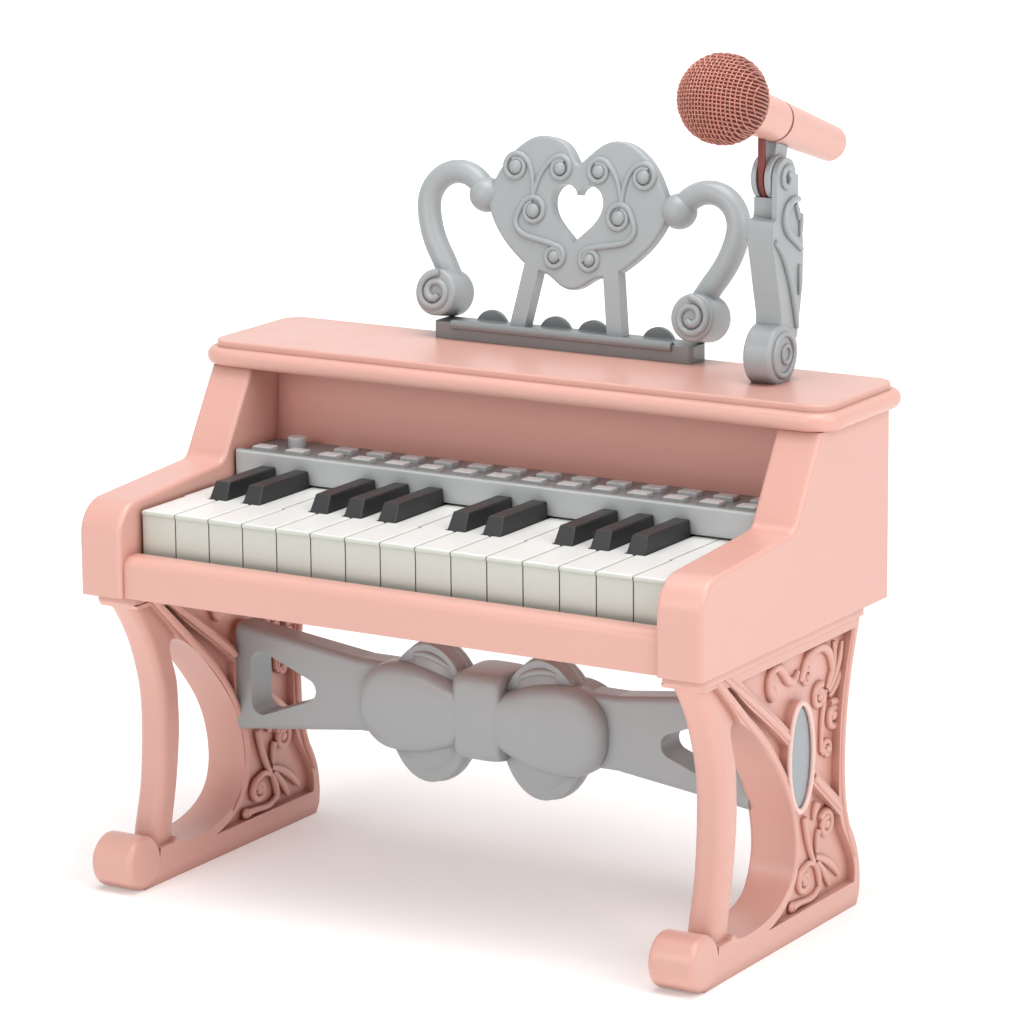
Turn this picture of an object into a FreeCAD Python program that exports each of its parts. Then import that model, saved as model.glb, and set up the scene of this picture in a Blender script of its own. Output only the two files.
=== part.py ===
import FreeCAD, Part
import math
import os
import re
from types import SimpleNamespace

import Sketcher

Vector = FreeCAD.Vector
Rotation = FreeCAD.Rotation
Placement = FreeCAD.Placement

X_AXIS = Vector(1, 0, 0)
Y_AXIS = Vector(0, 1, 0)
Z_AXIS = Vector(0, 0, 1)
RIGHT_ANGLE = 90.0

# Toy upright piano on two scrolled end legs, with a music rest and a microphone.
# The cabinet frame is used throughout: X across, Y back from the cheek fronts,
# Z up from the underside of the cabinet. Every piece is then placed by the same
# two sizes, front_offset and leg_height, so that the origin lies on the floor.
SIZES = {
    # whole cabinet
    "front_offset": 121.24,
    "leg_height": 165.0,
    "cabinet_width": 380.0,
    "cabinet_depth": 204.0,
    "cabinet_height": 103.2,
    "shell_wall": 3.0,
    "overrun": 2.0,
    "seat_gap": 0.3,
    # cheeks and raked sides
    "cheek_width": 26.4,
    "cheek_front_height": 50.0,
    "cheek_rear_height": 56.3,
    "slope_run": 28.4,
    "slope_top_setback": 4.5,
    "cheek_nose_radius": 19.0,
    "slope_blend_radius": 9.0,
    "soft_edge_radius": 2.6,
    # lid
    "lid_width": 395.0,
    "lid_depth": 93.5,
    "lid_rear_overhang": 12.0,
    "lid_edge_thickness": 10.0,
    "lid_corner_radius": 17.0,
    "lid_bull_radius": 4.6,
    "lid_plate_rise": 3.9,
    "lid_plate_inset": 5.5,
    "lid_plate_radius": 1.2,
    "lid_cavity_inset": 16.0,
    # front rail
    "rail_recess": 3.0,
    "rail_thickness": 12.0,
    "rail_height": 22.4,
    "rail_round_radius": 6.0,
    # fallboard
    "rear_room_depth": 53.0,
    "fallboard_foot_z": 50.0,
    "fallboard_lean": 4.0,
    "fallboard_thickness": 3.0,
    # base tray and battery bay
    "tray_thickness": 3.0,
    "bay_length": 56.0,
    "bay_width": 49.0,
    "bay_height": 19.0,
    "bay_rear_margin": 6.0,
    "bay_wall": 1.8,
    "cover_thickness": 2.4,
    "cover_lip": 2.0,
    "cell_radius": 7.1,
    "cell_length": 50.0,
    "cell_spacing": 14.8,
    # back panel and loudspeaker
    "back_thickness": 3.0,
    "grille_slot_width": 4.0,
    "grille_slot_length": 44.0,
    "grille_slot_pitch": 9.0,
    "speaker_end_margin": 71.6,
    "speaker_z": 56.0,
    "speaker_radius": 33.0,
    "speaker_rim": 4.0,
    "speaker_rim_depth": 2.5,
    "speaker_depth": 15.0,
    "speaker_back_radius": 17.0,
    "magnet_radius": 15.0,
    "magnet_depth": 9.0,
    "cone_wall": 0.8,
    # keyboard
    "key_end_clearance": 0.2,
    "key_gap": 0.7,
    "key_front_y": 18.4,
    "key_top_z": 45.4,
    "key_skirt": 25.0,
    "key_stem_height": 13.0,
    "key_wall": 1.8,
    "key_edge_radius": 1.3,
    "key_lip_height": 2.4,
    "key_lip_reach": 0.7,
    "black_length": 48.9,
    "black_end_gap": 0.8,
    "black_width": 11.4,
    "black_top_width": 9.4,
    "black_rise": 9.0,
    "black_bevel": 5.5,
    "black_foot": 1.0,
    "black_edge_radius": 0.9,
    "black_clearance": 0.6,
    "black_sink": 9.0,
    "pivot_setback": 1.0,
    "pivot_z": 37.0,
    "pivot_radius": 1.5,
    "pivot_clearance": 0.05,
    "hub_radius": 4.2,
    "frame_beam_depth": 16.0,
    "frame_beam_drop": 6.0,
    "frame_ear_width": 1.4,
    "board_thickness": 1.6,
    "board_depth": 22.0,
    "board_reach": 78.0,
    "board_lift": 21.8,
    "post_radius": 3.0,
    "strip_thickness": 1.2,
    "dome_radius": 4.0,
    "dome_top_radius": 2.4,
    "dome_height": 5.0,
    "plunger_depth": 8.0,
    # control panel
    "panel_depth": 42.4,
    "panel_rear_gap": 0.4,
    "panel_bottom_z": 46.6,
    "panel_lip_z": 62.0,
    "panel_deck_z": 59.8,
    "panel_lip_depth": 4.2,
    "panel_lip_radius": 1.6,
    "panel_end_gap": 1.6,
    "panel_wall": 2.0,
    "button_length": 11.5,
    "button_depth": 8.0,
    "button_rise": 2.7,
    "button_flange": 1.0,
    "button_flange_height": 1.2,
    "button_clearance": 0.35,
    "button_travel": 1.2,
    "button_edge_radius": 0.7,
    "front_row_setback": 12.8,
    "row_spacing": 15.5,
    "knob_radius": 5.0,
    "knob_rise": 6.0,
    "knob_travel": 1.6,
    "mat_thickness": 1.4,
    # legs
    "leg_depth": 184.0,
    "leg_inset": 4.5,
    "leg_thickness": 24.5,
    "leg_flange_height": 6.0,
    "leg_head_seat": 0.06,
    "leg_flange_margin": 1.5,
    "leg_flange_front_y": 8.0,
    "leg_flange_radius": 5.0,
    "leg_web_recess": 5.0,
    "leg_post_recess": 3.4,
    "leg_post_radius": 5.5,
    "leg_rib_width": 7.0,
    "foot_radius": 15.0,
    "foot_y": 11.4,
    "foot_round_radius": 3.6,
    "foot_proud": 1.2,
    "medallion_width": 29.0,
    "medallion_height": 61.0,
    "medallion_rim": 2.6,
    "medallion_seat": 3.0,
    "medallion_thickness": 2.4,
    "screw_radius": 1.6,
    "screw_length": 18.0,
    "screw_head_radius": 3.2,
    "screw_head_height": 2.2,
    # bow brace
    "bow_front_y": 103.0,
    "bow_thickness": 20.0,
    "bow_top_drop": 36.0,
    "bow_height": 61.0,
    "bow_arm_reach": 80.0,
    "bow_waist_height": 41.0,
    "bow_edge_radius": 4.0,
    "bow_puff_length": 69.0,
    "bow_puff_height": 50.0,
    "bow_puff_drop": 1.5,
    "bow_puff_proud": 8.0,
    "bow_puff_radius": 7.5,
    "bow_loop_length": 52.0,
    "bow_loop_height": 77.0,
    "bow_loop_thickness": 22.0,
    "bow_loop_drop": 4.0,
    "bow_loop_radius": 8.0,
    "bow_knot_width": 28.0,
    "bow_knot_height": 46.0,
    "bow_knot_proud": 8.5,
    "bow_knot_radius": 7.0,
    # music rest
    "rest_x": -4.0,
    "rest_setback": 73.5,
    "rest_lean_angle": 10.5,
    "rest_thickness": 8.0,
    "rest_height": 115.0,
    "rest_half_width": 61.4,
    "rest_arm_span": 99.0,
    "rest_arm_radius": 6.6,
    "rest_arm_y": 6.0,
    "rest_volute_radius": 13.0,
    "rest_volute_x": 81.0,
    "rest_volute_z": 24.5,
    "rest_volute_proud": 2.0,
    "rest_volute_front": 7.0,
    "rest_knob_radius": 9.8,
    "rest_strut_width": 9.5,
    "rest_edge_radius": 1.6,
    "ledge_width": 163.0,
    "ledge_height": 9.4,
    "ledge_bead_radius": 2.6,
    "ledge_bead_proud": 2.0,
    "ledge_bead_drop": 1.0,
    "ledge_end_radius": 3.0,
    "ledge_bead_inset": 12.0,
    "scallop_radius": 10.5,
    "scallop_rise": 6.0,
    "scallop_pitch": 24.0,
    "scallop_thickness": 2.2,
    # microphone arm
    "mic_x": 134.8,
    "arm_width": 15.0,
    "arm_base_radius": 16.5,
    "arm_setback": 52.0,
    "arm_base_z": 14.5,
    "arm_disc_rise": 1.2,
    "arm_edge_radius": 2.0,
    "hub_setback": 3.0,
    "hub_z": 108.0,
    "barrel_radius": 12.0,
    "barrel_gap": 0.4,
    "groove_radius": 7.6,
    "groove_width": 5.0,
    "ear_thickness": 3.0,
    "ear_radius": 10.5,
    "pin_radius": 2.5,
    "collar_height": 14.0,
    # microphone
    "mic_tilt": 17.9,
    "mic_above_hub": 28.4,
    "mic_ahead_of_hub": 67.0,
    "grille_radius": 23.2,
    "grille_wall": 1.2,
    "neck_radius": 12.2,
    "tail_radius": 9.7,
    "tail_round": 3.0,
    "handle_length": 108.0,
    "collar_step": 0.6,
    "collar_start": 57.0,
    "collar_length": 2.0,
    "capsule_radius": 4.8,
    "capsule_length": 9.0,
    "saddle_width": 8.0,
    "saddle_length": 13.0,
    "lead_radius": 2.1,
    "lead_sweep_angle": 70.0,
    "lead_gap": 0.15,
}

WHITE_COUNT = 15
# White-key boundaries, counted from the left, that carry a black key.
BLACK_BOUNDARIES = (1, 2, 4, 5, 6, 8, 9, 11, 12, 13)
FRONT_BUTTON_COUNT = 15
FIRST_BACK_BUTTON = 2
CELL_COUNT = 3
GRILLE_SLOT_COUNT = 6

# Places that follow from the sizes. Those along Y are counted back from the cheek fronts:
# the lid and the room for the loudspeaker hang from the cabinet's back, and the fallboard,
# the panel and the keys stand in front of that room.
PLACES = {
    "white_pitch": "(cabinet_width - 2 * (cheek_width + frame_ear_width + key_end_clearance))"
                   f" / {WHITE_COUNT}",
    "speaker_x": "cabinet_width / 2 - cheek_width - speaker_end_margin",
    "lid_front_y": "cabinet_depth + lid_rear_overhang - lid_depth",
    "slope_top_y": "lid_front_y + slope_top_setback",
    "slope_foot_y": "slope_top_y - slope_run",
    "fallboard_foot_y": "cabinet_depth - rear_room_depth",
    "pivot_y": "fallboard_foot_y + pivot_setback",
    "board_y": "pivot_y - board_reach",
    "panel_front_y": "fallboard_foot_y - panel_rear_gap - panel_depth",
    "black_back_y": "panel_front_y - black_end_gap",
    "black_front_y": "black_back_y - black_length",
    "front_row_y": "panel_front_y + front_row_setback",
    "back_row_y": "front_row_y + row_spacing",
    "rest_front_y": "lid_front_y + rest_setback",
    "arm_base_y": "lid_front_y + arm_setback",
    "hub_y": "arm_base_y + hub_setback",
}

doc = FreeCAD.newDocument("toy_piano")
sheet = doc.addObject("Spreadsheet::Sheet", "dims")
cells = {**SIZES, **{name: "=" + formula for name, formula in PLACES.items()}}
for row, (name, content) in enumerate(cells.items(), start=1):
    sheet.set(f"A{row}", name)
    sheet.set(f"B{row}", str(content))
    sheet.setAlias(f"B{row}", name)
doc.recompute()
dim = SimpleNamespace(**{name: float(sheet.get(name)) for name in cells})

pieces = {}


# Helpers: expressions on the sheet, placed solids and booleans.
def on_sheet(text):
    """Turn an expression in size names into one that reads the sheet."""
    def with_sheet(found):
        word = found.group(0)
        return "dims." + word if word in cells else word

    return re.sub(r"[a-z][a-z_]*[a-z]", with_sheet, text)


def place(solid, at):
    """Bind a corner or centre, given in the cabinet frame, to the sheet."""
    x, y, z = at
    solid.setExpression("Placement.Base.x", on_sheet(x))
    solid.setExpression("Placement.Base.y", on_sheet(f"{y} - front_offset"))
    solid.setExpression("Placement.Base.z", on_sheet(f"{z} + leg_height"))
    return solid


def bound(kind, name, **sizes):
    """A primitive whose properties are bound to the sheet."""
    solid = doc.addObject(kind, name)
    for prop, text in sizes.items():
        solid.setExpression(prop, on_sheet(text))
    return solid


def block(name, length, width, height, at):
    return place(bound("Part::Box", name, Length=length, Width=width, Height=height), at)


TURNS = {
    "X": Rotation(Y_AXIS, RIGHT_ANGLE),
    "Y": Rotation(X_AXIS, -RIGHT_ANGLE),
    "Z": Rotation(),
}


def rod(name, radius, length, at, axis):
    solid = bound("Part::Cylinder", name, Radius=radius, Height=length)
    solid.Placement = Placement(Vector(), TURNS[axis])
    return place(solid, at)


def cone(name, start_radius, end_radius, length, at, axis):
    solid = bound("Part::Cone", name, Radius1=start_radius, Radius2=end_radius, Height=length)
    solid.Placement = Placement(Vector(), TURNS[axis])
    return place(solid, at)


def cut(name, base, tool):
    result = doc.addObject("Part::Cut", name)
    result.Base = base
    result.Tool = tool
    return result


def fuse(name, solids):
    result = doc.addObject("Part::MultiFuse", name)
    result.Shapes = solids
    result.Refine = True
    return result


def group(name, solids):
    result = doc.addObject("Part::Compound", name)
    result.Links = solids
    return result


def rounded(name, base, radius, chosen):
    """Fillet the edges of base that chosen accepts."""
    doc.recompute()
    result = doc.addObject("Part::Fillet", name)
    result.Base = base
    edges = enumerate(base.Shape.Edges, start=1)
    result.Edges = [(number, radius, radius) for number, edge in edges if chosen(edge)]
    return result


def piece(name, solid):
    solid.Label = name
    pieces[name] = solid
    return solid


def shaped(name, shape, at=None, turn=None):
    """A piece whose shape is made in code, in the cabinet frame or a turned one."""
    solid = doc.addObject("Part::Feature", name + "_shape")
    solid.Shape = shape
    corner = at if at is not None else Vector()
    base = corner + Vector(0, -dim.front_offset, dim.leg_height)
    solid.Placement = Placement(base, turn if turn is not None else Rotation())
    return piece(name, solid)


def runs_along(edge, axis):
    """True for a straight edge that runs along the axis."""
    if not isinstance(edge.Curve, Part.Line):
        return False
    return abs(edge.tangentAt(edge.FirstParameter).dot(axis)) > math.cos(math.radians(1.0))


def near(value, target):
    return abs(value - target) < dim.seat_gap


def world_y(y):
    return y - dim.front_offset


def world_z(z):
    return z + dim.leg_height


def outline_body(name, points, length, left_x):
    """A body padded along X from a closed outline of (y, z) expressions."""
    body = doc.addObject("PartDesign::Body", name)
    sketch = body.newObject("Sketcher::SketchObject", name + "_outline")
    plane = [item for item in body.Origin.OriginFeatures if item.Role == "YZ_Plane"][0]
    sketch.AttachmentSupport = [(plane, "")]
    sketch.MapMode = "FlatFace"
    count = len(points)
    spots = [Vector(math.cos(2 * math.pi * i / count), math.sin(2 * math.pi * i / count), 0)
             for i in range(count)]
    for i in range(count):
        sketch.addGeometry(Part.LineSegment(spots[i], spots[(i + 1) % count]))
    for i in range(count):
        sketch.addConstraint(Sketcher.Constraint("Coincident", i, 2, (i + 1) % count, 1))
    for i, (y, z) in enumerate(points):
        for kind, text, start in (("DistanceX", y, spots[i].x), ("DistanceY", z, spots[i].y)):
            index = sketch.addConstraint(Sketcher.Constraint(kind, -1, 1, i, 1, start))
            sketch.setExpression(f"Constraints[{index}]", on_sheet(text))
    pad = body.newObject("PartDesign::Pad", name + "_pad")
    pad.Profile = sketch
    pad.setExpression("Length", on_sheet(length))
    body.Tip = pad
    place(body, (left_x, "0", "0"))
    return body


def body_fillet(body, name, radius, chosen):
    """Round the chosen edges of a body's last feature."""
    doc.recompute()
    last = body.Tip
    edges = enumerate(last.Shape.Edges, start=1)
    names = [f"Edge{number}" for number, edge in edges if chosen(edge)]
    fillet = body.newObject("PartDesign::Fillet", name)
    fillet.Base = (last, names)
    fillet.setExpression("Radius", on_sheet(radius))
    body.Tip = fillet
    return body


def smooth_wire(points):
    """An open smooth curve through points."""
    curve = Part.BSplineCurve()
    curve.interpolate(points)
    return curve.toShape()


def band_face(points, half_widths, to_space):
    """A strip of changing width along a smooth line of plane points."""
    curve = Part.BSplineCurve()
    curve.interpolate([Vector(u, v, 0) for u, v in points])
    steps = 4 * (len(points) - 1)
    first, last = curve.FirstParameter, curve.LastParameter
    left, right = [], []
    for step in range(steps + 1):
        share = step / steps
        spot = curve.value(first + (last - first) * share)
        along = curve.tangent(first + (last - first) * share)[0]
        reach = share * (len(half_widths) - 1)
        low = min(int(reach), len(half_widths) - 2)
        half = half_widths[low] + (half_widths[low + 1] - half_widths[low]) * (reach - low)
        side = Vector(-along.y, along.x, 0) * half
        left.append(to_space(spot.x + side.x, spot.y + side.y))
        right.append(to_space(spot.x - side.x, spot.y - side.y))
    one, two = smooth_wire(left), smooth_wire(right)
    wire = Part.Wire(Part.__sortEdges__([
        one, Part.makeLine(left[-1], right[-1]), two, Part.makeLine(right[0], left[0])]))
    return Part.Face(wire)


# Cheeks and raked sides: one moulded shell at each end of the cabinet.
def make_side(name, left_x, rebate_x):
    body = outline_body(name + "_body", (
        ("0", "0"),
        ("0", "cheek_front_height"),
        ("slope_foot_y", "cheek_rear_height"),
        ("slope_top_y", "cabinet_height"),
        ("cabinet_depth", "cabinet_height"),
        ("cabinet_depth", "0"),
    ), "cheek_width", left_x)

    def at_spot(edge, y, z):
        middle = edge.CenterOfMass
        return runs_along(edge, X_AXIS) and near(middle.y, y) and near(middle.z, z)

    body_fillet(body, name + "_nose", "cheek_nose_radius",
                lambda edge: at_spot(edge, 0, dim.cheek_front_height))
    body_fillet(body, name + "_blend", "slope_blend_radius",
                lambda edge: at_spot(edge, dim.slope_foot_y, dim.cheek_rear_height))

    def shows(edge):
        middle = edge.CenterOfMass
        low = near(middle.z, 0)
        rear = near(middle.y, dim.cabinet_depth)
        top = near(middle.z, dim.cabinet_height)
        return not (runs_along(edge, X_AXIS) or low or rear or top)

    body_fillet(body, name + "_edges", "soft_edge_radius", shows)

    inner_wall = f"{left_x} + shell_wall"
    inside = "cheek_width - 2 * shell_wall"
    low_hollow = block(name + "_low_hollow", inside, "cabinet_depth - 2 * shell_wall",
                       "cheek_front_height - cheek_nose_radius + overrun",
                       (inner_wall, "shell_wall", "-overrun"))
    high_hollow = block(name + "_high_hollow", inside,
                        "cabinet_depth - slope_top_y - 2 * shell_wall",
                        "cabinet_height - shell_wall + overrun",
                        (inner_wall, "slope_top_y + shell_wall", "-overrun"))
    rebate = block(name + "_rebate", "cheek_width - shell_wall + overrun",
                   "cabinet_depth - 2 * shell_wall", "tray_thickness + overrun",
                   (rebate_x, "shell_wall", "-overrun"))
    hollow = fuse(name + "_hollow", [low_hollow, high_hollow, rebate])
    return piece(name, cut(name + "_shell", body, hollow))


make_side("left_side", "-cabinet_width / 2", "-cabinet_width / 2 + shell_wall")
make_side("right_side", "cabinet_width / 2 - cheek_width",
          "cabinet_width / 2 - cheek_width - overrun")

INNER_WIDTH = "(cabinet_width - 2 * cheek_width)"
INNER_LEFT = "-cabinet_width / 2 + cheek_width"
DOME_Y = "(board_y + board_depth / 2)"


# Front rail: a rounded channel in front of the keys.
def make_front_rail():
    body = outline_body("rail_body", (
        ("rail_recess", "0"),
        ("rail_recess", "rail_height"),
        ("rail_recess + rail_thickness", "rail_height"),
        ("rail_recess + rail_thickness", "0"),
    ), INNER_WIDTH, INNER_LEFT)

    def top_front(edge):
        middle = edge.CenterOfMass
        level = near(middle.z, dim.rail_height)
        return runs_along(edge, X_AXIS) and level and near(middle.y, dim.rail_recess)

    body_fillet(body, "rail_round", "rail_round_radius", top_front)
    channel = block("rail_channel", f"{INNER_WIDTH} - 2 * shell_wall", "rail_thickness",
                    "rail_height - rail_round_radius - shell_wall",
                    (f"{INNER_LEFT} + shell_wall", "rail_recess + shell_wall", "shell_wall"))
    foot = block("rail_tray_rebate", f"{INNER_WIDTH} + 2 * overrun", "rail_thickness",
                 "tray_thickness + overrun",
                 (f"{INNER_LEFT} - overrun", "rail_recess + shell_wall", "-overrun"))
    return piece("front_rail", cut("rail_shell", body, fuse("rail_hollow", [channel, foot])))


make_front_rail()


# Fallboard: the plain board behind the buttons, leaning back to the lid.
piece("fallboard", outline_body("fallboard_body", (
    ("fallboard_foot_y", "fallboard_foot_z"),
    ("fallboard_foot_y + fallboard_lean", "cabinet_height"),
    ("fallboard_foot_y + fallboard_lean + fallboard_thickness", "cabinet_height"),
    ("fallboard_foot_y + fallboard_thickness", "fallboard_foot_z"),
), INNER_WIDTH, INNER_LEFT))


# Lid: a bull-nosed moulding with a thin raised plate, hollow underneath.
def make_lid():
    moulding = block("lid_moulding", "lid_width", "lid_depth", "lid_edge_thickness",
                     ("-lid_width / 2", "lid_front_y", "cabinet_height"))
    corners = rounded("lid_corners", moulding, dim.lid_corner_radius,
                      lambda edge: runs_along(edge, Z_AXIS))
    bull = rounded("lid_bull", corners, dim.lid_bull_radius,
                   lambda edge: not runs_along(edge, Z_AXIS))
    plate = block("lid_plate", "lid_width - 2 * lid_plate_inset",
                  "lid_depth - 2 * lid_plate_inset", "lid_plate_rise + lid_bull_radius",
                  ("-lid_width / 2 + lid_plate_inset", "lid_front_y + lid_plate_inset",
                   "cabinet_height + lid_edge_thickness - lid_bull_radius"))
    plate_corners = rounded("lid_plate_corners", plate, dim.lid_corner_radius - dim.lid_plate_inset,
                            lambda edge: runs_along(edge, Z_AXIS))
    plate_top = world_z(dim.cabinet_height + dim.lid_edge_thickness + dim.lid_plate_rise)
    plate_soft = rounded("lid_plate_soft", plate_corners, dim.lid_plate_radius,
                         lambda edge: near(edge.CenterOfMass.z, plate_top)
                         and not runs_along(edge, Z_AXIS))
    solid = fuse("lid_solid", [bull, plate_soft])
    hollow = block("lid_hollow", f"{INNER_WIDTH} - 2 * lid_cavity_inset",
                   "lid_depth - 2 * lid_cavity_inset",
                   "lid_edge_thickness + lid_plate_rise - shell_wall + overrun",
                   (f"{INNER_LEFT} + lid_cavity_inset",
                    "lid_front_y + lid_cavity_inset + lid_plate_inset", "cabinet_height - overrun"))
    return piece("lid", cut("lid_shell", solid, hollow))


make_lid()

LID_TOP = "(cabinet_height + lid_edge_thickness + lid_plate_rise)"
lid_top = dim.cabinet_height + dim.lid_edge_thickness + dim.lid_plate_rise


# Base tray: the floor of the cabinet, with the battery bay moulded in it.
BAY_FRONT = "(cabinet_depth - shell_wall - bay_rear_margin - bay_length)"


def make_base_tray():
    plate = block("tray_plate", "cabinet_width - 2 * shell_wall - 2 * seat_gap",
                  "cabinet_depth - rail_recess - 2 * shell_wall - 2 * seat_gap", "tray_thickness",
                  ("-cabinet_width / 2 + shell_wall + seat_gap",
                   "rail_recess + shell_wall + seat_gap", "0"))
    bay = block("tray_bay", "bay_width + 2 * bay_wall", "bay_length + 2 * bay_wall",
                "bay_height + bay_wall",
                ("-bay_width / 2 - bay_wall", f"{BAY_FRONT} - bay_wall", "0"))
    posts = []
    for side, x in (("left", "-cabinet_width / 4"), ("middle", "0"), ("right", "cabinet_width / 4")):
        posts.append(rod(f"tray_post_{side}", "post_radius", "board_lift - tray_thickness",
                         (x, DOME_Y, "tray_thickness"), "Z"))
    solid = fuse("tray_solid", [plate, bay] + posts)
    room = block("tray_bay_room", "bay_width", "bay_length", "bay_height + overrun",
                 ("-bay_width / 2", BAY_FRONT, "-overrun"))
    step = block("tray_cover_step", "bay_width + 2 * cover_lip", "bay_length + 2 * cover_lip",
                 "cover_thickness + overrun",
                 ("-bay_width / 2 - cover_lip", f"{BAY_FRONT} - cover_lip", "-overrun"))
    tools = [room, step]
    for number, (x, y) in enumerate(leg_screw_places(), start=1):
        tools.append(rod(f"tray_screw_hole_{number}", "screw_radius + pivot_clearance",
                         "tray_thickness + 2 * overrun", (x, y, "-overrun"), "Z"))
    return piece("base_tray", cut("tray_shell", solid, fuse("tray_room", tools)))


LEG_MIDDLE = "(cabinet_width / 2 - leg_inset - leg_thickness / 2)"


def leg_screw_places():
    """Two screws through the tray into the head of each leg."""
    front = "leg_depth / 4"
    rear = "leg_depth * 3 / 4"
    return [(f"{sign}{LEG_MIDDLE}", y) for sign in ("-", "") for y in (front, rear)]


make_base_tray()


def make_leg_screws():
    screws = []
    for number, (x, y) in enumerate(leg_screw_places(), start=1):
        shank = rod(f"screw_shank_{number}", "screw_radius", "screw_length",
                    (x, y, "tray_thickness - screw_length"), "Z")
        head = rod(f"screw_head_{number}", "screw_head_radius", "screw_head_height",
                   (x, y, "tray_thickness"), "Z")
        screws.append(fuse(f"screw_{number}", [shank, head]))
    return piece("leg_screws", group("screw_set", screws))


make_leg_screws()

piece("battery_cover", block("cover_plate", "bay_width + 2 * cover_lip - 2 * seat_gap",
                             "bay_length + 2 * cover_lip - 2 * seat_gap", "cover_thickness",
                             ("-bay_width / 2 - cover_lip + seat_gap",
                              f"{BAY_FRONT} - cover_lip + seat_gap", "0")))


def make_cells():
    cells = []
    for number in range(CELL_COUNT):
        offset = f"({number} - ({CELL_COUNT} - 1) / 2) * cell_spacing"
        cells.append(rod(f"cell_{number + 1}", "cell_radius", "cell_length",
                         (offset, f"{BAY_FRONT} + (bay_length - cell_length) / 2",
                          "cover_thickness + seat_gap + cell_radius"), "Y"))
    return piece("battery_cells", group("cell_set", cells))


make_cells()


# Back panel with its loudspeaker slots, and the loudspeaker behind them.
def make_back():
    panel = block("back_plate", INNER_WIDTH, "back_thickness", "cabinet_height - tray_thickness",
                  (INNER_LEFT, "cabinet_depth - back_thickness", "tray_thickness"))
    slots = []
    for number in range(GRILLE_SLOT_COUNT):
        x = f"speaker_x + ({number} - ({GRILLE_SLOT_COUNT} - 1) / 2) * grille_slot_pitch"
        slots.append(block(f"back_slot_{number + 1}", "grille_slot_width",
                           "back_thickness + 2 * overrun", "grille_slot_length",
                           (f"{x} - grille_slot_width / 2",
                            "cabinet_depth - back_thickness - overrun",
                            "speaker_z - grille_slot_length / 2")))
    return piece("back_panel", cut("back_slotted", panel, fuse("back_slots", slots)))


make_back()


def make_speaker():
    face_y = "cabinet_depth - back_thickness"
    rim = rod("speaker_rim_ring", "speaker_radius", "speaker_rim_depth",
              ("speaker_x", f"{face_y} - speaker_rim_depth", "speaker_z"), "Y")
    basket = cone("speaker_basket", "speaker_back_radius", "speaker_radius - speaker_rim",
                  "speaker_depth", ("speaker_x", f"{face_y} - speaker_rim_depth - speaker_depth",
                                    "speaker_z"), "Y")
    magnet = rod("speaker_magnet", "magnet_radius", "magnet_depth",
                 ("speaker_x", f"{face_y} - speaker_rim_depth - speaker_depth - magnet_depth",
                  "speaker_z"), "Y")
    frame = fuse("speaker_solid", [rim, basket, magnet])
    wide = "speaker_radius - speaker_rim - cone_wall"
    narrow = "speaker_back_radius - cone_wall"
    bowl = cone("speaker_bowl", narrow, wide, "speaker_depth + speaker_rim_depth",
                ("speaker_x", f"{face_y} - speaker_rim_depth - speaker_depth + cone_wall",
                 "speaker_z"), "Y")
    piece("speaker_frame", cut("speaker_shell", frame, bowl))
    cone_start = f"{face_y} - speaker_rim_depth - speaker_depth + cone_wall"
    flare = f"(({wide}) - ({narrow})) * speaker_depth / (speaker_depth + speaker_rim_depth)"
    outer = cone("cone_outer", f"{narrow} - seat_gap", f"{narrow} + {flare} - seat_gap",
                 "speaker_depth", ("speaker_x", f"{cone_start} + seat_gap", "speaker_z"), "Y")
    inner = cone("cone_inner", f"{narrow} - seat_gap - cone_wall",
                 f"{narrow} + {flare} - seat_gap - cone_wall", "speaker_depth",
                 ("speaker_x", f"{cone_start} + seat_gap + cone_wall", "speaker_z"), "Y")
    piece("speaker_cone", cut("cone_shell", outer, inner))


make_speaker()


# Keys. Each turns on one steel rod at the back and returns by itself.
def boundary(number):
    """X of a white-key boundary, counted from the left end."""
    return f"({number} - {WHITE_COUNT} / 2) * white_pitch"


NOTCH = "(black_width / 2 + black_clearance)"
HEAD_END = "(black_front_y - black_clearance)"


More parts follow.
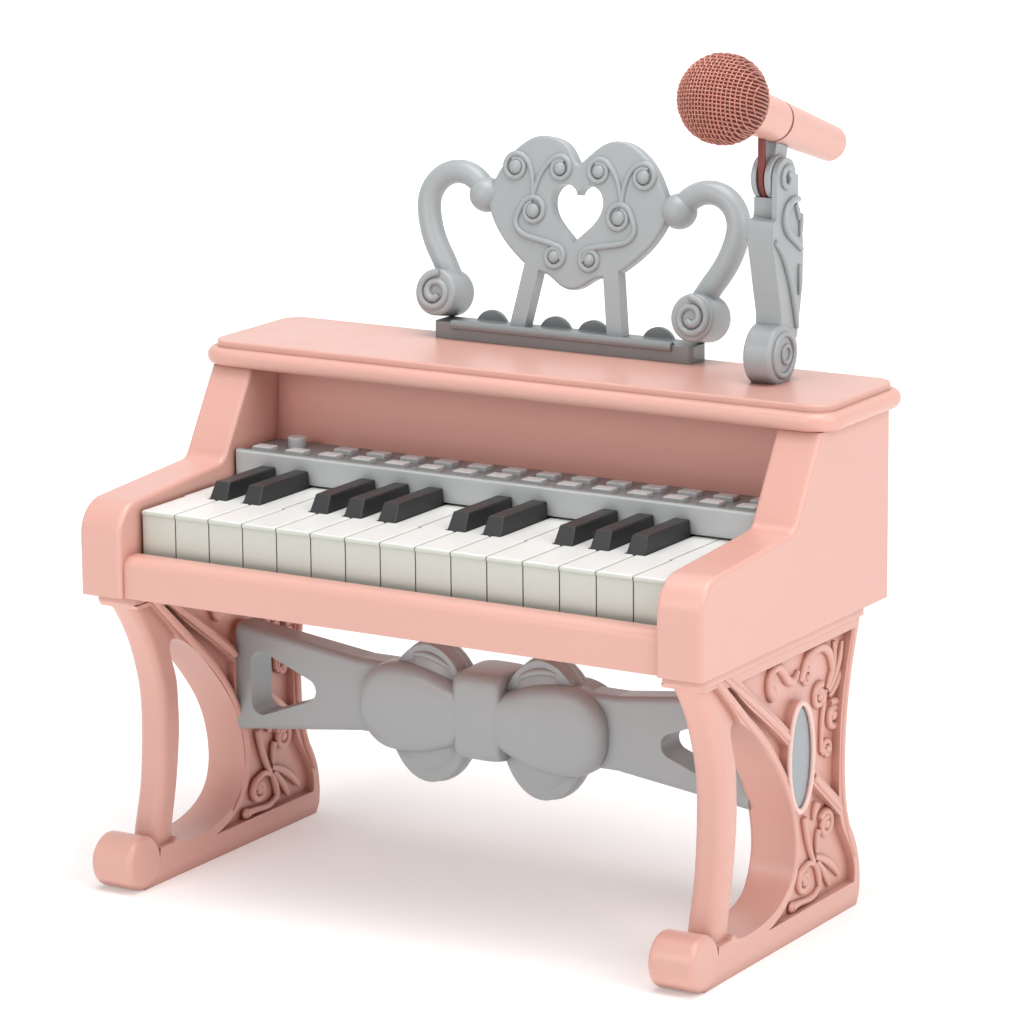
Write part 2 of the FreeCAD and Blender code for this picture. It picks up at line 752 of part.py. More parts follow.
def make_white_key(number):
    """A hollow key: a full-width head with a lip, a stem beside the black keys and a hub."""
    name = f"white_key_{number:02d}"
    notch_left = number - 1 in BLACK_BOUNDARIES
    notch_right = number in BLACK_BOUNDARIES
    left = f"{boundary(number - 1)} + key_gap / 2"
    right = f"{boundary(number)} - key_gap / 2"
    stem_left = f"{boundary(number - 1)} + {NOTCH}" if notch_left else left
    stem_right = f"{boundary(number)} - {NOTCH}" if notch_right else right
    stem_width = f"({stem_right}) - ({stem_left})"

    head = block(name + "_head", "white_pitch - key_gap", f"{HEAD_END} - key_front_y", "key_skirt",
                 (left, "key_front_y", "key_top_z - key_skirt"))
    front_top = world_z(dim.key_top_z)

    def top_rim(edge):
        middle = edge.CenterOfMass
        at_end = near(middle.y, world_y(dim.black_front_y - dim.black_clearance))
        return near(middle.z, front_top) and not at_end

    soft_head = rounded(name + "_soft", head, dim.key_edge_radius, top_rim)
    stem = block(name + "_stem", stem_width, f"pivot_y - {HEAD_END}", "key_stem_height",
                 (stem_left, HEAD_END, "key_top_z - key_stem_height"))
    hub = rod(name + "_hub", "hub_radius", stem_width, (stem_left, "pivot_y", "pivot_z"), "X")
    solid = fuse(name + "_solid", [soft_head, stem, hub])

    head_room = block(name + "_head_room", "white_pitch - key_gap - 2 * key_wall",
                      f"{HEAD_END} - key_front_y - key_lip_reach - 2 * key_wall",
                      "key_skirt - key_wall + overrun",
                      (f"{left} + key_wall", "key_front_y + key_lip_reach + key_wall",
                       "key_top_z - key_skirt - overrun"))
    room_depth = "key_stem_height - key_wall + overrun"
    room_low = "key_top_z - key_stem_height - overrun"
    fore_room = block(name + "_fore_room", f"{stem_width} - 2 * key_wall",
                      f"{DOME_Y} - plunger_depth / 2 - {HEAD_END}", room_depth,
                      (f"{stem_left} + key_wall", HEAD_END, room_low))
    aft_room = block(name + "_aft_room", f"{stem_width} - 2 * key_wall",
                     f"pivot_y - hub_radius - key_wall - {DOME_Y} - plunger_depth / 2", room_depth,
                     (f"{stem_left} + key_wall", f"{DOME_Y} + plunger_depth / 2", room_low))
    bore = rod(name + "_bore", "pivot_radius + pivot_clearance", f"{stem_width} + 2 * overrun",
               (f"{stem_left} - overrun", "pivot_y", "pivot_z"), "X")
    skirt_cut = block(name + "_skirt_cut", "white_pitch + 2 * overrun", f"{HEAD_END} - key_front_y",
                      "key_skirt - key_stem_height + overrun",
                      (f"{left} - overrun", "key_front_y + 2 * key_wall",
                       "key_top_z - key_skirt - overrun"))
    lip_cut = block(name + "_lip_cut", "white_pitch + 2 * overrun", "key_lip_reach + overrun",
                    "key_skirt - key_lip_height + overrun",
                    (f"{left} - overrun", "key_front_y - overrun", "key_top_z - key_skirt - overrun"))
    room = fuse(name + "_room", [head_room, fore_room, aft_room, bore, skirt_cut, lip_cut])
    return piece(name, cut(name + "_shell", solid, room))


for white in range(1, WHITE_COUNT + 1):
    make_white_key(white)


def make_black_key(number, edge_number):
    """A raised cap with a sloped front, on a base and a stem that runs back to the rod."""
    name = f"black_key_{number:02d}"
    middle = boundary(edge_number)
    draft = "(black_width - black_top_width) / 2"
    cap = bound("Part::Wedge", name + "_cap",
                Xmin="0", Xmax="black_width", Ymin="0", Ymax="black_rise + black_foot",
                Zmin="0", Zmax="black_back_y - black_front_y",
                X2min=draft, X2max=f"black_width - {draft}",
                Z2min="0", Z2max="black_back_y - black_front_y - black_bevel")
    cap.Placement = Placement(Vector(), Rotation(X_AXIS, RIGHT_ANGLE))
    place(cap, (f"{middle} - black_width / 2", "black_back_y", "key_top_z - black_foot"))
    cap_top = world_z(dim.key_top_z + dim.black_rise)

    def top_rim(edge):
        ends = [vertex.Point.z for vertex in edge.Vertexes]
        return max(ends) > cap_top - dim.seat_gap and not near(edge.CenterOfMass.y,
                                                              world_y(dim.black_back_y))

    soft_cap = rounded(name + "_soft", cap, dim.black_edge_radius, top_rim)
    base = block(name + "_base", "black_width", "black_back_y - black_front_y", "black_sink - black_foot",
                 (f"{middle} - black_width / 2", "black_front_y", "key_top_z - black_sink"))
    stem_width = "(black_width - 2 * black_clearance)"
    stem = block(name + "_stem", stem_width, "pivot_y - black_back_y + black_clearance", "black_sink",
                 (f"{middle} - {stem_width} / 2", "black_back_y - black_clearance",
                  "key_top_z - black_sink - black_clearance"))
    hub = rod(name + "_hub", "hub_radius", stem_width,
              (f"{middle} - {stem_width} / 2", "pivot_y", "pivot_z"), "X")
    plunger = block(name + "_plunger", stem_width, "plunger_depth",
                    "key_stem_height - black_sink + black_clearance",
                    (f"{middle} - {stem_width} / 2", f"{DOME_Y} - plunger_depth / 2",
                     "key_top_z - key_stem_height"))
    solid = fuse(name + "_solid", [soft_cap, base, stem, hub, plunger])
    bore = rod(name + "_bore", "pivot_radius + pivot_clearance", f"{stem_width} + 2 * overrun",
               (f"{middle} - {stem_width} / 2 - overrun", "pivot_y", "pivot_z"), "X")
    return piece(name, cut(name + "_bored", solid, bore))


for black, edge_number in enumerate(BLACK_BOUNDARIES, start=1):
    make_black_key(black, edge_number)


# Key frame: a beam across the cabinet whose end ears hold the rod.
def make_key_frame():
    beam_top = "pivot_z - hub_radius - frame_beam_drop"
    beam = block("frame_beam", INNER_WIDTH, "frame_beam_depth", f"{beam_top} - tray_thickness",
                 (INNER_LEFT, "pivot_y - frame_beam_depth / 2", "tray_thickness"))
    ears = []
    for side, x in (("left", INNER_LEFT), ("right", f"{INNER_LEFT} + {INNER_WIDTH} - frame_ear_width")):
        ears.append(block(f"frame_ear_{side}", "frame_ear_width", "frame_beam_depth",
                          "pivot_z + hub_radius - tray_thickness",
                          (x, "pivot_y - frame_beam_depth / 2", "tray_thickness")))
    bore = rod("frame_bore", "pivot_radius + pivot_clearance", f"{INNER_WIDTH} + 2 * overrun",
               (f"{INNER_LEFT} - overrun", "pivot_y", "pivot_z"), "X")
    bay_room = block("frame_bay_room", "bay_width + 2 * bay_wall + 2 * seat_gap",
                     "frame_beam_depth + 2 * overrun", "bay_height + bay_wall + seat_gap",
                     ("-bay_width / 2 - bay_wall - seat_gap",
                      "pivot_y - frame_beam_depth / 2 - overrun", "0"))
    solid = fuse("frame_solid", [beam] + ears)
    return piece("key_frame", cut("frame_bored", solid, fuse("frame_holes", [bore, bay_room])))


make_key_frame()
piece("key_pivot_rod", rod("pivot_rod", "pivot_radius", INNER_WIDTH,
                           (INNER_LEFT, "pivot_y", "pivot_z"), "X"))


# Contact board on the tray posts, with one rubber dome under every key.
piece("key_board", block("key_board_plate", f"{INNER_WIDTH} - 2 * panel_end_gap", "board_depth",
                         "board_thickness",
                         (f"{INNER_LEFT} + panel_end_gap", "board_y", "board_lift")))


def make_contact_strip():
    strip_z = "board_lift + board_thickness"
    strip = block("strip_base", f"{INNER_WIDTH} - 2 * panel_end_gap", "board_depth", "strip_thickness",
                  (f"{INNER_LEFT} + panel_end_gap", "board_y", strip_z))
    centres = [f"{boundary(number)} + white_pitch / 2" for number in range(WHITE_COUNT)]
    centres += [boundary(number) for number in BLACK_BOUNDARIES]
    domes = []
    for number, x in enumerate(centres, start=1):
        domes.append(cone(f"strip_dome_{number}", "dome_radius", "dome_top_radius", "dome_height",
                          (x, DOME_Y, strip_z), "Z"))
    return piece("key_contact_strip", fuse("strip_solid", [strip] + domes))


make_contact_strip()


# Control panel: a long grey box with two rows of buttons and a round switch.
PANEL_LEFT = f"({INNER_LEFT} + panel_end_gap)"
PANEL_LENGTH = f"({INNER_WIDTH} - 2 * panel_end_gap)"
FRONT_BUTTONS = range(FRONT_BUTTON_COUNT)
BACK_BUTTONS = range(FIRST_BACK_BUTTON, FRONT_BUTTON_COUNT)
BUTTON_FOOT = "(panel_deck_z - panel_wall - button_flange_height - button_clearance)"


def button_middle(number):
    return f"{boundary(number)} + white_pitch / 2"


KNOB_X = boundary(1)


def make_control_panel():
    body = outline_body("panel_body", (
        ("panel_front_y", "panel_bottom_z"),
        ("panel_front_y", "panel_lip_z"),
        ("panel_front_y + panel_lip_depth", "panel_lip_z"),
        ("panel_front_y + panel_lip_depth", "panel_deck_z"),
        ("panel_front_y + panel_depth", "panel_deck_z"),
        ("panel_front_y + panel_depth", "panel_bottom_z"),
    ), PANEL_LENGTH, PANEL_LEFT)

    def lip(edge):
        return runs_along(edge, X_AXIS) and near(edge.CenterOfMass.z, dim.panel_lip_z)

    body_fillet(body, "panel_lip", "panel_lip_radius", lip)
    tools = [block("panel_room", f"{PANEL_LENGTH} - 2 * panel_wall", "panel_depth - 2 * panel_wall",
                   "panel_deck_z - panel_wall - panel_bottom_z + overrun",
                   (f"{PANEL_LEFT} + panel_wall", "panel_front_y + panel_wall",
                    "panel_bottom_z - overrun"))]
    for row, numbers, y in (("front", FRONT_BUTTONS, "front_row_y"), ("back", BACK_BUTTONS, "back_row_y")):
        for number in numbers:
            tools.append(block(f"panel_{row}_hole_{number + 1}", "button_length + 2 * button_clearance",
                               "button_depth + 2 * button_clearance", "panel_wall + 2 * overrun",
                               (f"{button_middle(number)} - button_length / 2 - button_clearance",
                                f"{y} - button_depth / 2 - button_clearance",
                                "panel_deck_z - panel_wall - overrun")))
    tools.append(rod("panel_knob_hole", "knob_radius + button_clearance", "panel_wall + 2 * overrun",
                     (KNOB_X, "back_row_y", "panel_deck_z - panel_wall - overrun"), "Z"))
    return piece("control_panel", cut("panel_shell", body, fuse("panel_rooms", tools)))


make_control_panel()


def make_buttons(name, numbers, y):
    """One row of buttons, each with a hidden flange that keeps it in the panel."""
    buttons = []
    for number in numbers:
        middle = button_middle(number)
        cap = block(f"{name}_cap_{number + 1}", "button_length", "button_depth",
                    f"panel_deck_z + button_rise - {BUTTON_FOOT}",
                    (f"{middle} - button_length / 2", f"{y} - button_depth / 2", BUTTON_FOOT))
        top = world_z(dim.panel_deck_z + dim.button_rise)
        soft = rounded(f"{name}_soft_{number + 1}", cap, dim.button_edge_radius,
                       lambda edge, top=top: near(edge.CenterOfMass.z, top))
        flange = block(f"{name}_flange_{number + 1}", "button_length + 2 * button_flange",
                       "button_depth + 2 * button_flange", "button_flange_height",
                       (f"{middle} - button_length / 2 - button_flange",
                        f"{y} - button_depth / 2 - button_flange", BUTTON_FOOT))
        buttons.append(fuse(f"{name}_{number + 1}", [soft, flange]))
    return piece(name, group(name + "_row", buttons))


make_buttons("front_buttons", FRONT_BUTTONS, "front_row_y")
make_buttons("back_buttons", BACK_BUTTONS, "back_row_y")


def make_knob():
    stem = rod("knob_stem", "knob_radius", f"panel_deck_z + knob_rise - {BUTTON_FOOT}",
               (KNOB_X, "back_row_y", BUTTON_FOOT), "Z")
    top = world_z(dim.panel_deck_z + dim.knob_rise)
    soft = rounded("knob_soft", stem, dim.button_edge_radius,
                   lambda edge: near(edge.CenterOfMass.z, top) and edge.Length > dim.knob_radius * math.pi)
    flange = rod("knob_flange", "knob_radius + button_flange", "button_flange_height",
                 (KNOB_X, "back_row_y", BUTTON_FOOT), "Z")
    return piece("power_button", fuse("knob_solid", [soft, flange]))


make_knob()

MAT_TOP = f"({BUTTON_FOOT} - knob_travel - seat_gap)"
piece("button_mat", block("mat_sheet", f"{PANEL_LENGTH} - 2 * panel_wall - 2 * seat_gap",
                          "panel_depth - 2 * panel_wall - 2 * seat_gap", "mat_thickness",
                          (f"{PANEL_LEFT} + panel_wall + seat_gap",
                           "panel_front_y + panel_wall + seat_gap", f"{MAT_TOP} - mat_thickness")))
piece("button_board", block("button_board_plate", f"{PANEL_LENGTH} - 2 * panel_wall - 2 * seat_gap",
                            "panel_depth - 2 * panel_wall - 2 * seat_gap", "board_thickness",
                            (f"{PANEL_LEFT} + panel_wall + seat_gap",
                             "panel_front_y + panel_wall + seat_gap",
                             f"{MAT_TOP} - mat_thickness - board_thickness")))


# Legs. Outlines are shares of the leg's depth (back from the cheek fronts) and
# of its height (down from the cabinet). The leg's head is set a little into its flange.
LEG_HEAD_SHARE = (dim.leg_flange_height - dim.leg_head_seat) / dim.leg_height
LEG_FRONT_SHARES = (
    (0.055, LEG_HEAD_SHARE), (0.080, 0.070), (0.112, 0.121), (0.146, 0.188), (0.174, 0.267), (0.195, 0.352),
    (0.204, 0.455), (0.202, 0.545), (0.197, 0.624), (0.187, 0.703), (0.170, 0.776), (0.150, 0.860),
    (0.143, 0.905))
LEG_REAR_SHARES = (
    (0.984, LEG_HEAD_SHARE), (0.954, 0.139), (0.921, 0.255), (0.902, 0.394), (0.899, 0.545), (0.913, 0.679),
    (0.954, 0.752), (0.984, 0.824), (0.997, 0.903), (0.994, 0.965))
LEG_HEEL_SHARE = (0.975, 1.0)
LENS_FRONT_SHARES = (
    (0.264, 0.197), (0.246, 0.205), (0.243, 0.232), (0.253, 0.273), (0.271, 0.332), (0.278, 0.415),
    (0.280, 0.485), (0.272, 0.588), (0.258, 0.688), (0.231, 0.818), (0.224, 0.850))
LENS_REAR_SHARES = (
    (0.264, 0.197), (0.326, 0.239), (0.408, 0.321), (0.484, 0.415), (0.541, 0.503), (0.576, 0.594),
    (0.590, 0.679), (0.587, 0.748), (0.560, 0.809), (0.505, 0.855), (0.413, 0.885), (0.315, 0.893),
    (0.245, 0.880), (0.224, 0.850))
WEB_BAND_SHARES = (
    (0.163, 0.067), (0.239, 0.127), (0.342, 0.212), (0.429, 0.297), (0.507, 0.394), (0.567, 0.486),
    (0.605, 0.584), (0.620, 0.678), (0.616, 0.755), (0.583, 0.830), (0.519, 0.885), (0.435, 0.918))
WEB_REAR_SHARES = (
    (0.962, 0.918), (0.966, 0.880), (0.951, 0.824), (0.918, 0.764), (0.878, 0.691), (0.864, 0.545),
    (0.867, 0.394), (0.886, 0.255), (0.915, 0.145), (0.938, 0.067))
POST_EDGE_SHARES = (
    (0.135, 0.050), (0.200, 0.116), (0.263, 0.191), (0.318, 0.300), (0.340, 0.450), (0.335, 0.600),
    (0.305, 0.730), (0.255, 0.840), (0.215, 0.880))
POST_FRONT_SHARE = -0.05
POST_REAR_SHARE = 0.300
RIB_SHARES = (
    (0.217, 0.040), (0.348, 0.160), (0.543, 0.315), (0.712, 0.497), (0.848, 0.618), (0.955, 0.735))
MEDALLION_SHARE = (0.625, 0.406)


def leg_spot(share, x=0.0):
    return Vector(x, share[0] * dim.leg_depth, -share[1] * dim.leg_height)


def closed_face(edges):
    return Part.Face(Part.Wire(Part.__sortEdges__(edges)))


def curve_through(shares, x):
    return smooth_wire([leg_spot(share, x) for share in shares])


def ellipse_face(centre, width, height):
    """An upright oval in the YZ plane."""
    oval = Part.Ellipse(Vector(), height / 2, width / 2)
    wire = Part.Wire(oval.toShape())
    wire.Placement = Placement(centre, Rotation(Y_AXIS, -RIGHT_ANGLE))
    return Part.Face(wire)


def make_leg_shape():
    """The right-hand leg, built outward from its inner face."""
    inner = dim.cabinet_width / 2 - dim.leg_inset - dim.leg_thickness
    thick = dim.leg_thickness
    through = Vector(thick, 0, 0)

    front = curve_through(LEG_FRONT_SHARES, inner)
    rear = curve_through(LEG_REAR_SHARES, inner)
    heel = leg_spot(LEG_HEEL_SHARE, inner)
    toe = Vector(inner, dim.foot_y, -dim.leg_height)
    outline = [
        front,
        Part.makeLine(leg_spot(LEG_FRONT_SHARES[0], inner), leg_spot(LEG_REAR_SHARES[0], inner)),
        rear,
        Part.makeLine(leg_spot(LEG_REAR_SHARES[-1], inner), heel),
        Part.makeLine(heel, toe),
        Part.makeLine(toe, leg_spot(LEG_FRONT_SHARES[-1], inner)),
    ]
    slab = closed_face(outline).extrude(through)

    start = inner - dim.overrun
    lens_run = Vector(thick + 2 * dim.overrun, 0, 0)
    lens = closed_face([curve_through(LENS_FRONT_SHARES, start),
                        curve_through(LENS_REAR_SHARES, start)]).extrude(lens_run)

    def both_faces(make_face, depth):
        """The same sunk area on the inner and outer faces of the leg."""
        run = Vector(depth + dim.overrun, 0, 0)
        near_side = make_face(inner - dim.overrun).extrude(run)
        far_side = make_face(inner + thick - depth).extrude(run)
        return near_side, far_side

    def web_face(x):
        return closed_face([
            curve_through(WEB_BAND_SHARES, x),
            Part.makeLine(leg_spot(WEB_BAND_SHARES[-1], x), leg_spot(WEB_REAR_SHARES[0], x)),
            curve_through(WEB_REAR_SHARES, x),
            Part.makeLine(leg_spot(WEB_REAR_SHARES[-1], x), leg_spot(WEB_BAND_SHARES[0], x))])

    def post_face(x):
        top = leg_spot((POST_FRONT_SHARE, POST_EDGE_SHARES[0][1]), x)
        low = leg_spot((POST_FRONT_SHARE, POST_EDGE_SHARES[-1][1]), x)
        return closed_face([
            curve_through(POST_EDGE_SHARES, x),
            Part.makeLine(leg_spot(POST_EDGE_SHARES[-1], x), low),
            Part.makeLine(low, top),
            Part.makeLine(top, leg_spot(POST_EDGE_SHARES[0], x))])

    def rib_face(x):
        line = [(share[0] * dim.leg_depth, -share[1] * dim.leg_height) for share in RIB_SHARES]
        half = dim.leg_rib_width / 2
        return band_face(line, (half, half), lambda y, z: Vector(x, y, z))

    def seat_face(x):
        return ellipse_face(leg_spot(MEDALLION_SHARE, x), dim.medallion_width, dim.medallion_height)

    def post_solid():
        """The slimmer front post, rounded along its front."""
        side = inner + dim.leg_post_recess
        top = leg_spot((POST_REAR_SHARE, LEG_FRONT_SHARES[0][1]), side)
        low = leg_spot((POST_REAR_SHARE, LEG_FRONT_SHARES[-1][1]), side)
        nose = curve_through(LEG_FRONT_SHARES, side)
        face = closed_face([
            nose, Part.makeLine(leg_spot(LEG_FRONT_SHARES[0], side), top), Part.makeLine(top, low),
            Part.makeLine(low, leg_spot(LEG_FRONT_SHARES[-1], side))])
        post = face.extrude(Vector(thick - 2 * dim.leg_post_recess, 0, 0))
        rims = [edge for edge in post.Edges if not isinstance(edge.Curve, Part.Line)]
        return post.makeFillet(dim.leg_post_radius, rims)

    post_room = post_face(start).extrude(lens_run)
    leg = slab.cut(post_room).fuse(post_solid()).cut(lens)
    web_tools = both_faces(web_face, dim.leg_web_recess)
    rib_tools = both_faces(rib_face, dim.leg_web_recess)
    seat_tools = both_faces(seat_face, dim.leg_web_recess)
    for web_tool, rib_tool, seat_tool in zip(web_tools, rib_tools, seat_tools):
        leg = leg.cut(web_tool.cut(rib_tool).cut(seat_tool))

    foot_end = Vector(inner - dim.foot_proud, dim.foot_y, dim.foot_radius - dim.leg_height)
    foot = Part.makeCylinder(dim.foot_radius, thick + 2 * dim.foot_proud, foot_end, X_AXIS)
    foot = foot.makeFillet(dim.foot_round_radius,
                           [edge for edge in foot.Edges if isinstance(edge.Curve, Part.Circle)])
    margin = dim.leg_flange_margin
    flange_front = dim.leg_flange_front_y
    flange_rear = LEG_REAR_SHARES[0][0] * dim.leg_depth + margin
    flange = Part.makeBox(thick + margin, flange_rear - flange_front, dim.leg_flange_height,
                          Vector(inner, flange_front, -dim.leg_flange_height))
    flange = flange.makeFillet(dim.leg_flange_radius, [edge for edge in flange.Edges
                                                       if runs_along(edge, Z_AXIS)
                                                       and near(edge.CenterOfMass.y, flange_front)])
    flange = flange.makeFillet(margin, [edge for edge in flange.Edges
                                        if near(edge.CenterOfMass.z, -dim.leg_flange_height)
                                        and edge.BoundBox.XMax > inner + margin])
    leg = leg.multiFuse([foot, flange]).removeSplitter()

    seat_depth = dim.medallion_seat
    seat = ellipse_face(leg_spot(MEDALLION_SHARE, inner + thick - seat_depth),
                        dim.medallion_width - 2 * dim.medallion_rim,
                        dim.medallion_height - 2 * dim.medallion_rim)
    leg = leg.cut(seat.extrude(Vector(seat_depth + dim.overrun, 0, 0)))
    for y in (dim.leg_depth / 4, dim.leg_depth * 3 / 4):
        depth = dim.screw_length - dim.tray_thickness
        hole = Part.makeCylinder(dim.screw_radius + dim.pivot_clearance, depth + dim.overrun,
                                 Vector(inner + thick / 2, y, -depth), Z_AXIS)
        leg = leg.cut(hole)
    return leg


right_leg_shape = make_leg_shape()
shaped("right_leg", right_leg_shape)
shaped("left_leg", right_leg_shape.mirror(Vector(), X_AXIS))


def make_medallions():
    """Two domed ovals, one in the outer face of each leg."""
    outer = dim.cabinet_width / 2 - dim.leg_inset
    width = dim.medallion_width - 2 * dim.medallion_rim - 2 * dim.pivot_clearance
    height = dim.medallion_height - 2 * dim.medallion_rim - 2 * dim.pivot_clearance
    face = ellipse_face(leg_spot(MEDALLION_SHARE, outer - dim.medallion_seat), width, height)
    oval = face.extrude(Vector(dim.medallion_thickness, 0, 0))
    rim = [edge for edge in oval.Edges
           if near(edge.CenterOfMass.x, outer - dim.medallion_seat + dim.medallion_thickness)]
    oval = oval.makeFillet(dim.medallion_thickness / 2, rim)
    return Part.makeCompound([oval, oval.mirror(Vector(), X_AXIS)])


shaped("medallions", make_medallions())


# Bow brace: a puffed ribbon bow that ties the two legs together.
BOW_HOLE_SHARES = ((0.12, 0.17), (0.80, 0.53), (0.12, 0.87))
BOW_HOLE_RADIUS_SHARE = 0.11
BOW_LOOP_MIDDLE_SHARE = 0.42
BOW_PUFF_SHARES = ((0.0, 0.5), (0.45, 0.93), (0.78, 0.92), (0.98, 0.45), (1.0, 0.0))


def soft_prism(face, run, radius, front_y):
    """A thick flat shape whose front rim is rounded."""
    solid = face.extrude(Vector(0, run, 0))
    rim = [edge for edge in solid.Edges if near(edge.BoundBox.YMax, front_y)]
    return solid.makeFillet(radius, rim)


def make_bow():
    half_span = dim.cabinet_width / 2 - dim.leg_inset - dim.leg_thickness
    top = -dim.bow_top_drop
    low = top - dim.bow_height
    middle = (top + low) / 2
    front = dim.bow_front_y
    waist = dim.bow_waist_height / 2

    def flat(points):
        return Part.Face(Part.makePolygon([Vector(x, front, z) for x, z in points + points[:1]]))

    arm = flat([(half_span, top), (half_span, low), (half_span - dim.bow_arm_reach, middle - waist),
                (0, middle - waist), (0, middle + waist), (half_span - dim.bow_arm_reach, middle + waist)])
    arm = arm.extrude(Vector(0, dim.bow_thickness, 0))
    arm_edges = [edge for edge in arm.Edges
                 if not runs_along(edge, Y_AXIS)
                 and dim.bow_edge_radius < edge.CenterOfMass.x < half_span - dim.bow_edge_radius]
    arm = arm.makeFillet(dim.bow_edge_radius, arm_edges)

    corners = []
    for reach, drop in BOW_HOLE_SHARES:
        corners.append(Vector(half_span - reach * dim.bow_arm_reach, front - dim.overrun,
                              top - drop * dim.bow_height))
    hole = Part.Face(Part.makePolygon(corners + corners[:1]))
    hole = hole.extrude(Vector(0, dim.bow_thickness + 2 * dim.overrun, 0))
    hole = hole.makeFillet(BOW_HOLE_RADIUS_SHARE * dim.bow_height,
                           [edge for edge in hole.Edges if runs_along(edge, Y_AXIS)])
    arm = arm.cut(hole)

    knot_side = dim.bow_knot_width / 2
    puff_start = knot_side - dim.bow_knot_radius
    puff_middle = middle - dim.bow_puff_drop
    puff_points = [(puff_start + along * dim.bow_puff_length,
                    puff_middle + rise * dim.bow_puff_height / 2) for along, rise in BOW_PUFF_SHARES]
    mirror_points = [(x, 2 * puff_middle - z) for x, z in puff_points[-2::-1]]
    rim_curve = smooth_wire([Vector(x, front - dim.bow_puff_proud, z)
                             for x, z in puff_points + mirror_points])
    closing = Part.makeLine(rim_curve.Vertexes[-1].Point, rim_curve.Vertexes[0].Point)
    puff = soft_prism(closed_face([rim_curve, closing]), dim.bow_thickness + dim.bow_puff_proud,
                      dim.bow_puff_radius, front - dim.bow_puff_proud)

    loop_middle = puff_start + BOW_LOOP_MIDDLE_SHARE * dim.bow_puff_length
    oval = Part.Ellipse(Vector(), dim.bow_loop_height / 2, dim.bow_loop_length / 2)
    oval_wire = Part.Wire(oval.toShape())
    oval_wire.Placement = Placement(Vector(loop_middle, front, middle - dim.bow_loop_drop), Rotation(
        X_AXIS, RIGHT_ANGLE).multiply(Rotation(Z_AXIS, RIGHT_ANGLE)))
    loop = Part.Face(oval_wire).extrude(Vector(0, dim.bow_loop_thickness, 0))
    loop = loop.makeFillet(dim.bow_loop_radius, loop.Edges[:1] + loop.Edges[2:])

    knot = Part.makeBox(dim.bow_knot_width, dim.bow_thickness + dim.bow_knot_proud + dim.bow_puff_proud,
                        dim.bow_knot_height,
                        Vector(-knot_side, front - dim.bow_knot_proud, middle - dim.bow_knot_height / 2))
    knot = knot.makeFillet(dim.bow_knot_radius, [edge for edge in knot.Edges if runs_along(edge, X_AXIS)])
    half = arm.multiFuse([loop, puff])
    return half.multiFuse([half.mirror(Vector(), X_AXIS), knot]).removeSplitter()


shaped("bow_brace", make_bow())


# Music rest: a scrolled plate on two struts, leaning back on a grooved ledge.
# Shares of the plate's half width and of its height above the lid.
PLATE_SHARES = (
    (0.00, 0.885), (0.10, 0.935), (0.27, 0.995), (0.45, 1.000), (0.62, 0.955), (0.76, 0.880), (0.86, 0.790),
    (0.92, 0.690), (0.86, 0.590), (0.72, 0.490), (0.56, 0.415), (0.40, 0.365), (0.24, 0.345), (0.12, 0.305),
    (0.00, 0.285))
HEART_SHARES = (
    (0.00, 0.735), (0.08, 0.780), (0.19, 0.775), (0.265, 0.720), (0.245, 0.645), (0.13, 0.570), (0.00, 0.505))
REST_ARM_SHARES = ((0.62, 0.700), (0.80, 0.800), (0.985, 0.615), (0.89, 0.410), (0.75, 0.205))
REST_KNOB_SHARE = (0.99, 0.700)
STRUT_TOP_SHARE = (0.40, 0.40)
STRUT_FOOT_SHARE = (0.52, 0.030)


def arc_chain(points):
    """Arcs through points of the XZ plane, each tangent to the last, level at the second point."""
    first = points[1] - points[0]
    heading = 2 * math.atan2(first.z, first.x)
    edges = []
    for start, end in zip(points, points[1:]):
        chord = end - start
        chord_angle = math.atan2(chord.z, chord.x)
        turn = chord_angle - heading
        bulge = Vector(chord.z, 0, -chord.x) * (math.tan(turn / 2) / 2)
        edges.append(Part.Arc(start, (start + end) / 2 + bulge, end).toShape())
        heading = chord_angle + turn
    return Part.Wire(edges)


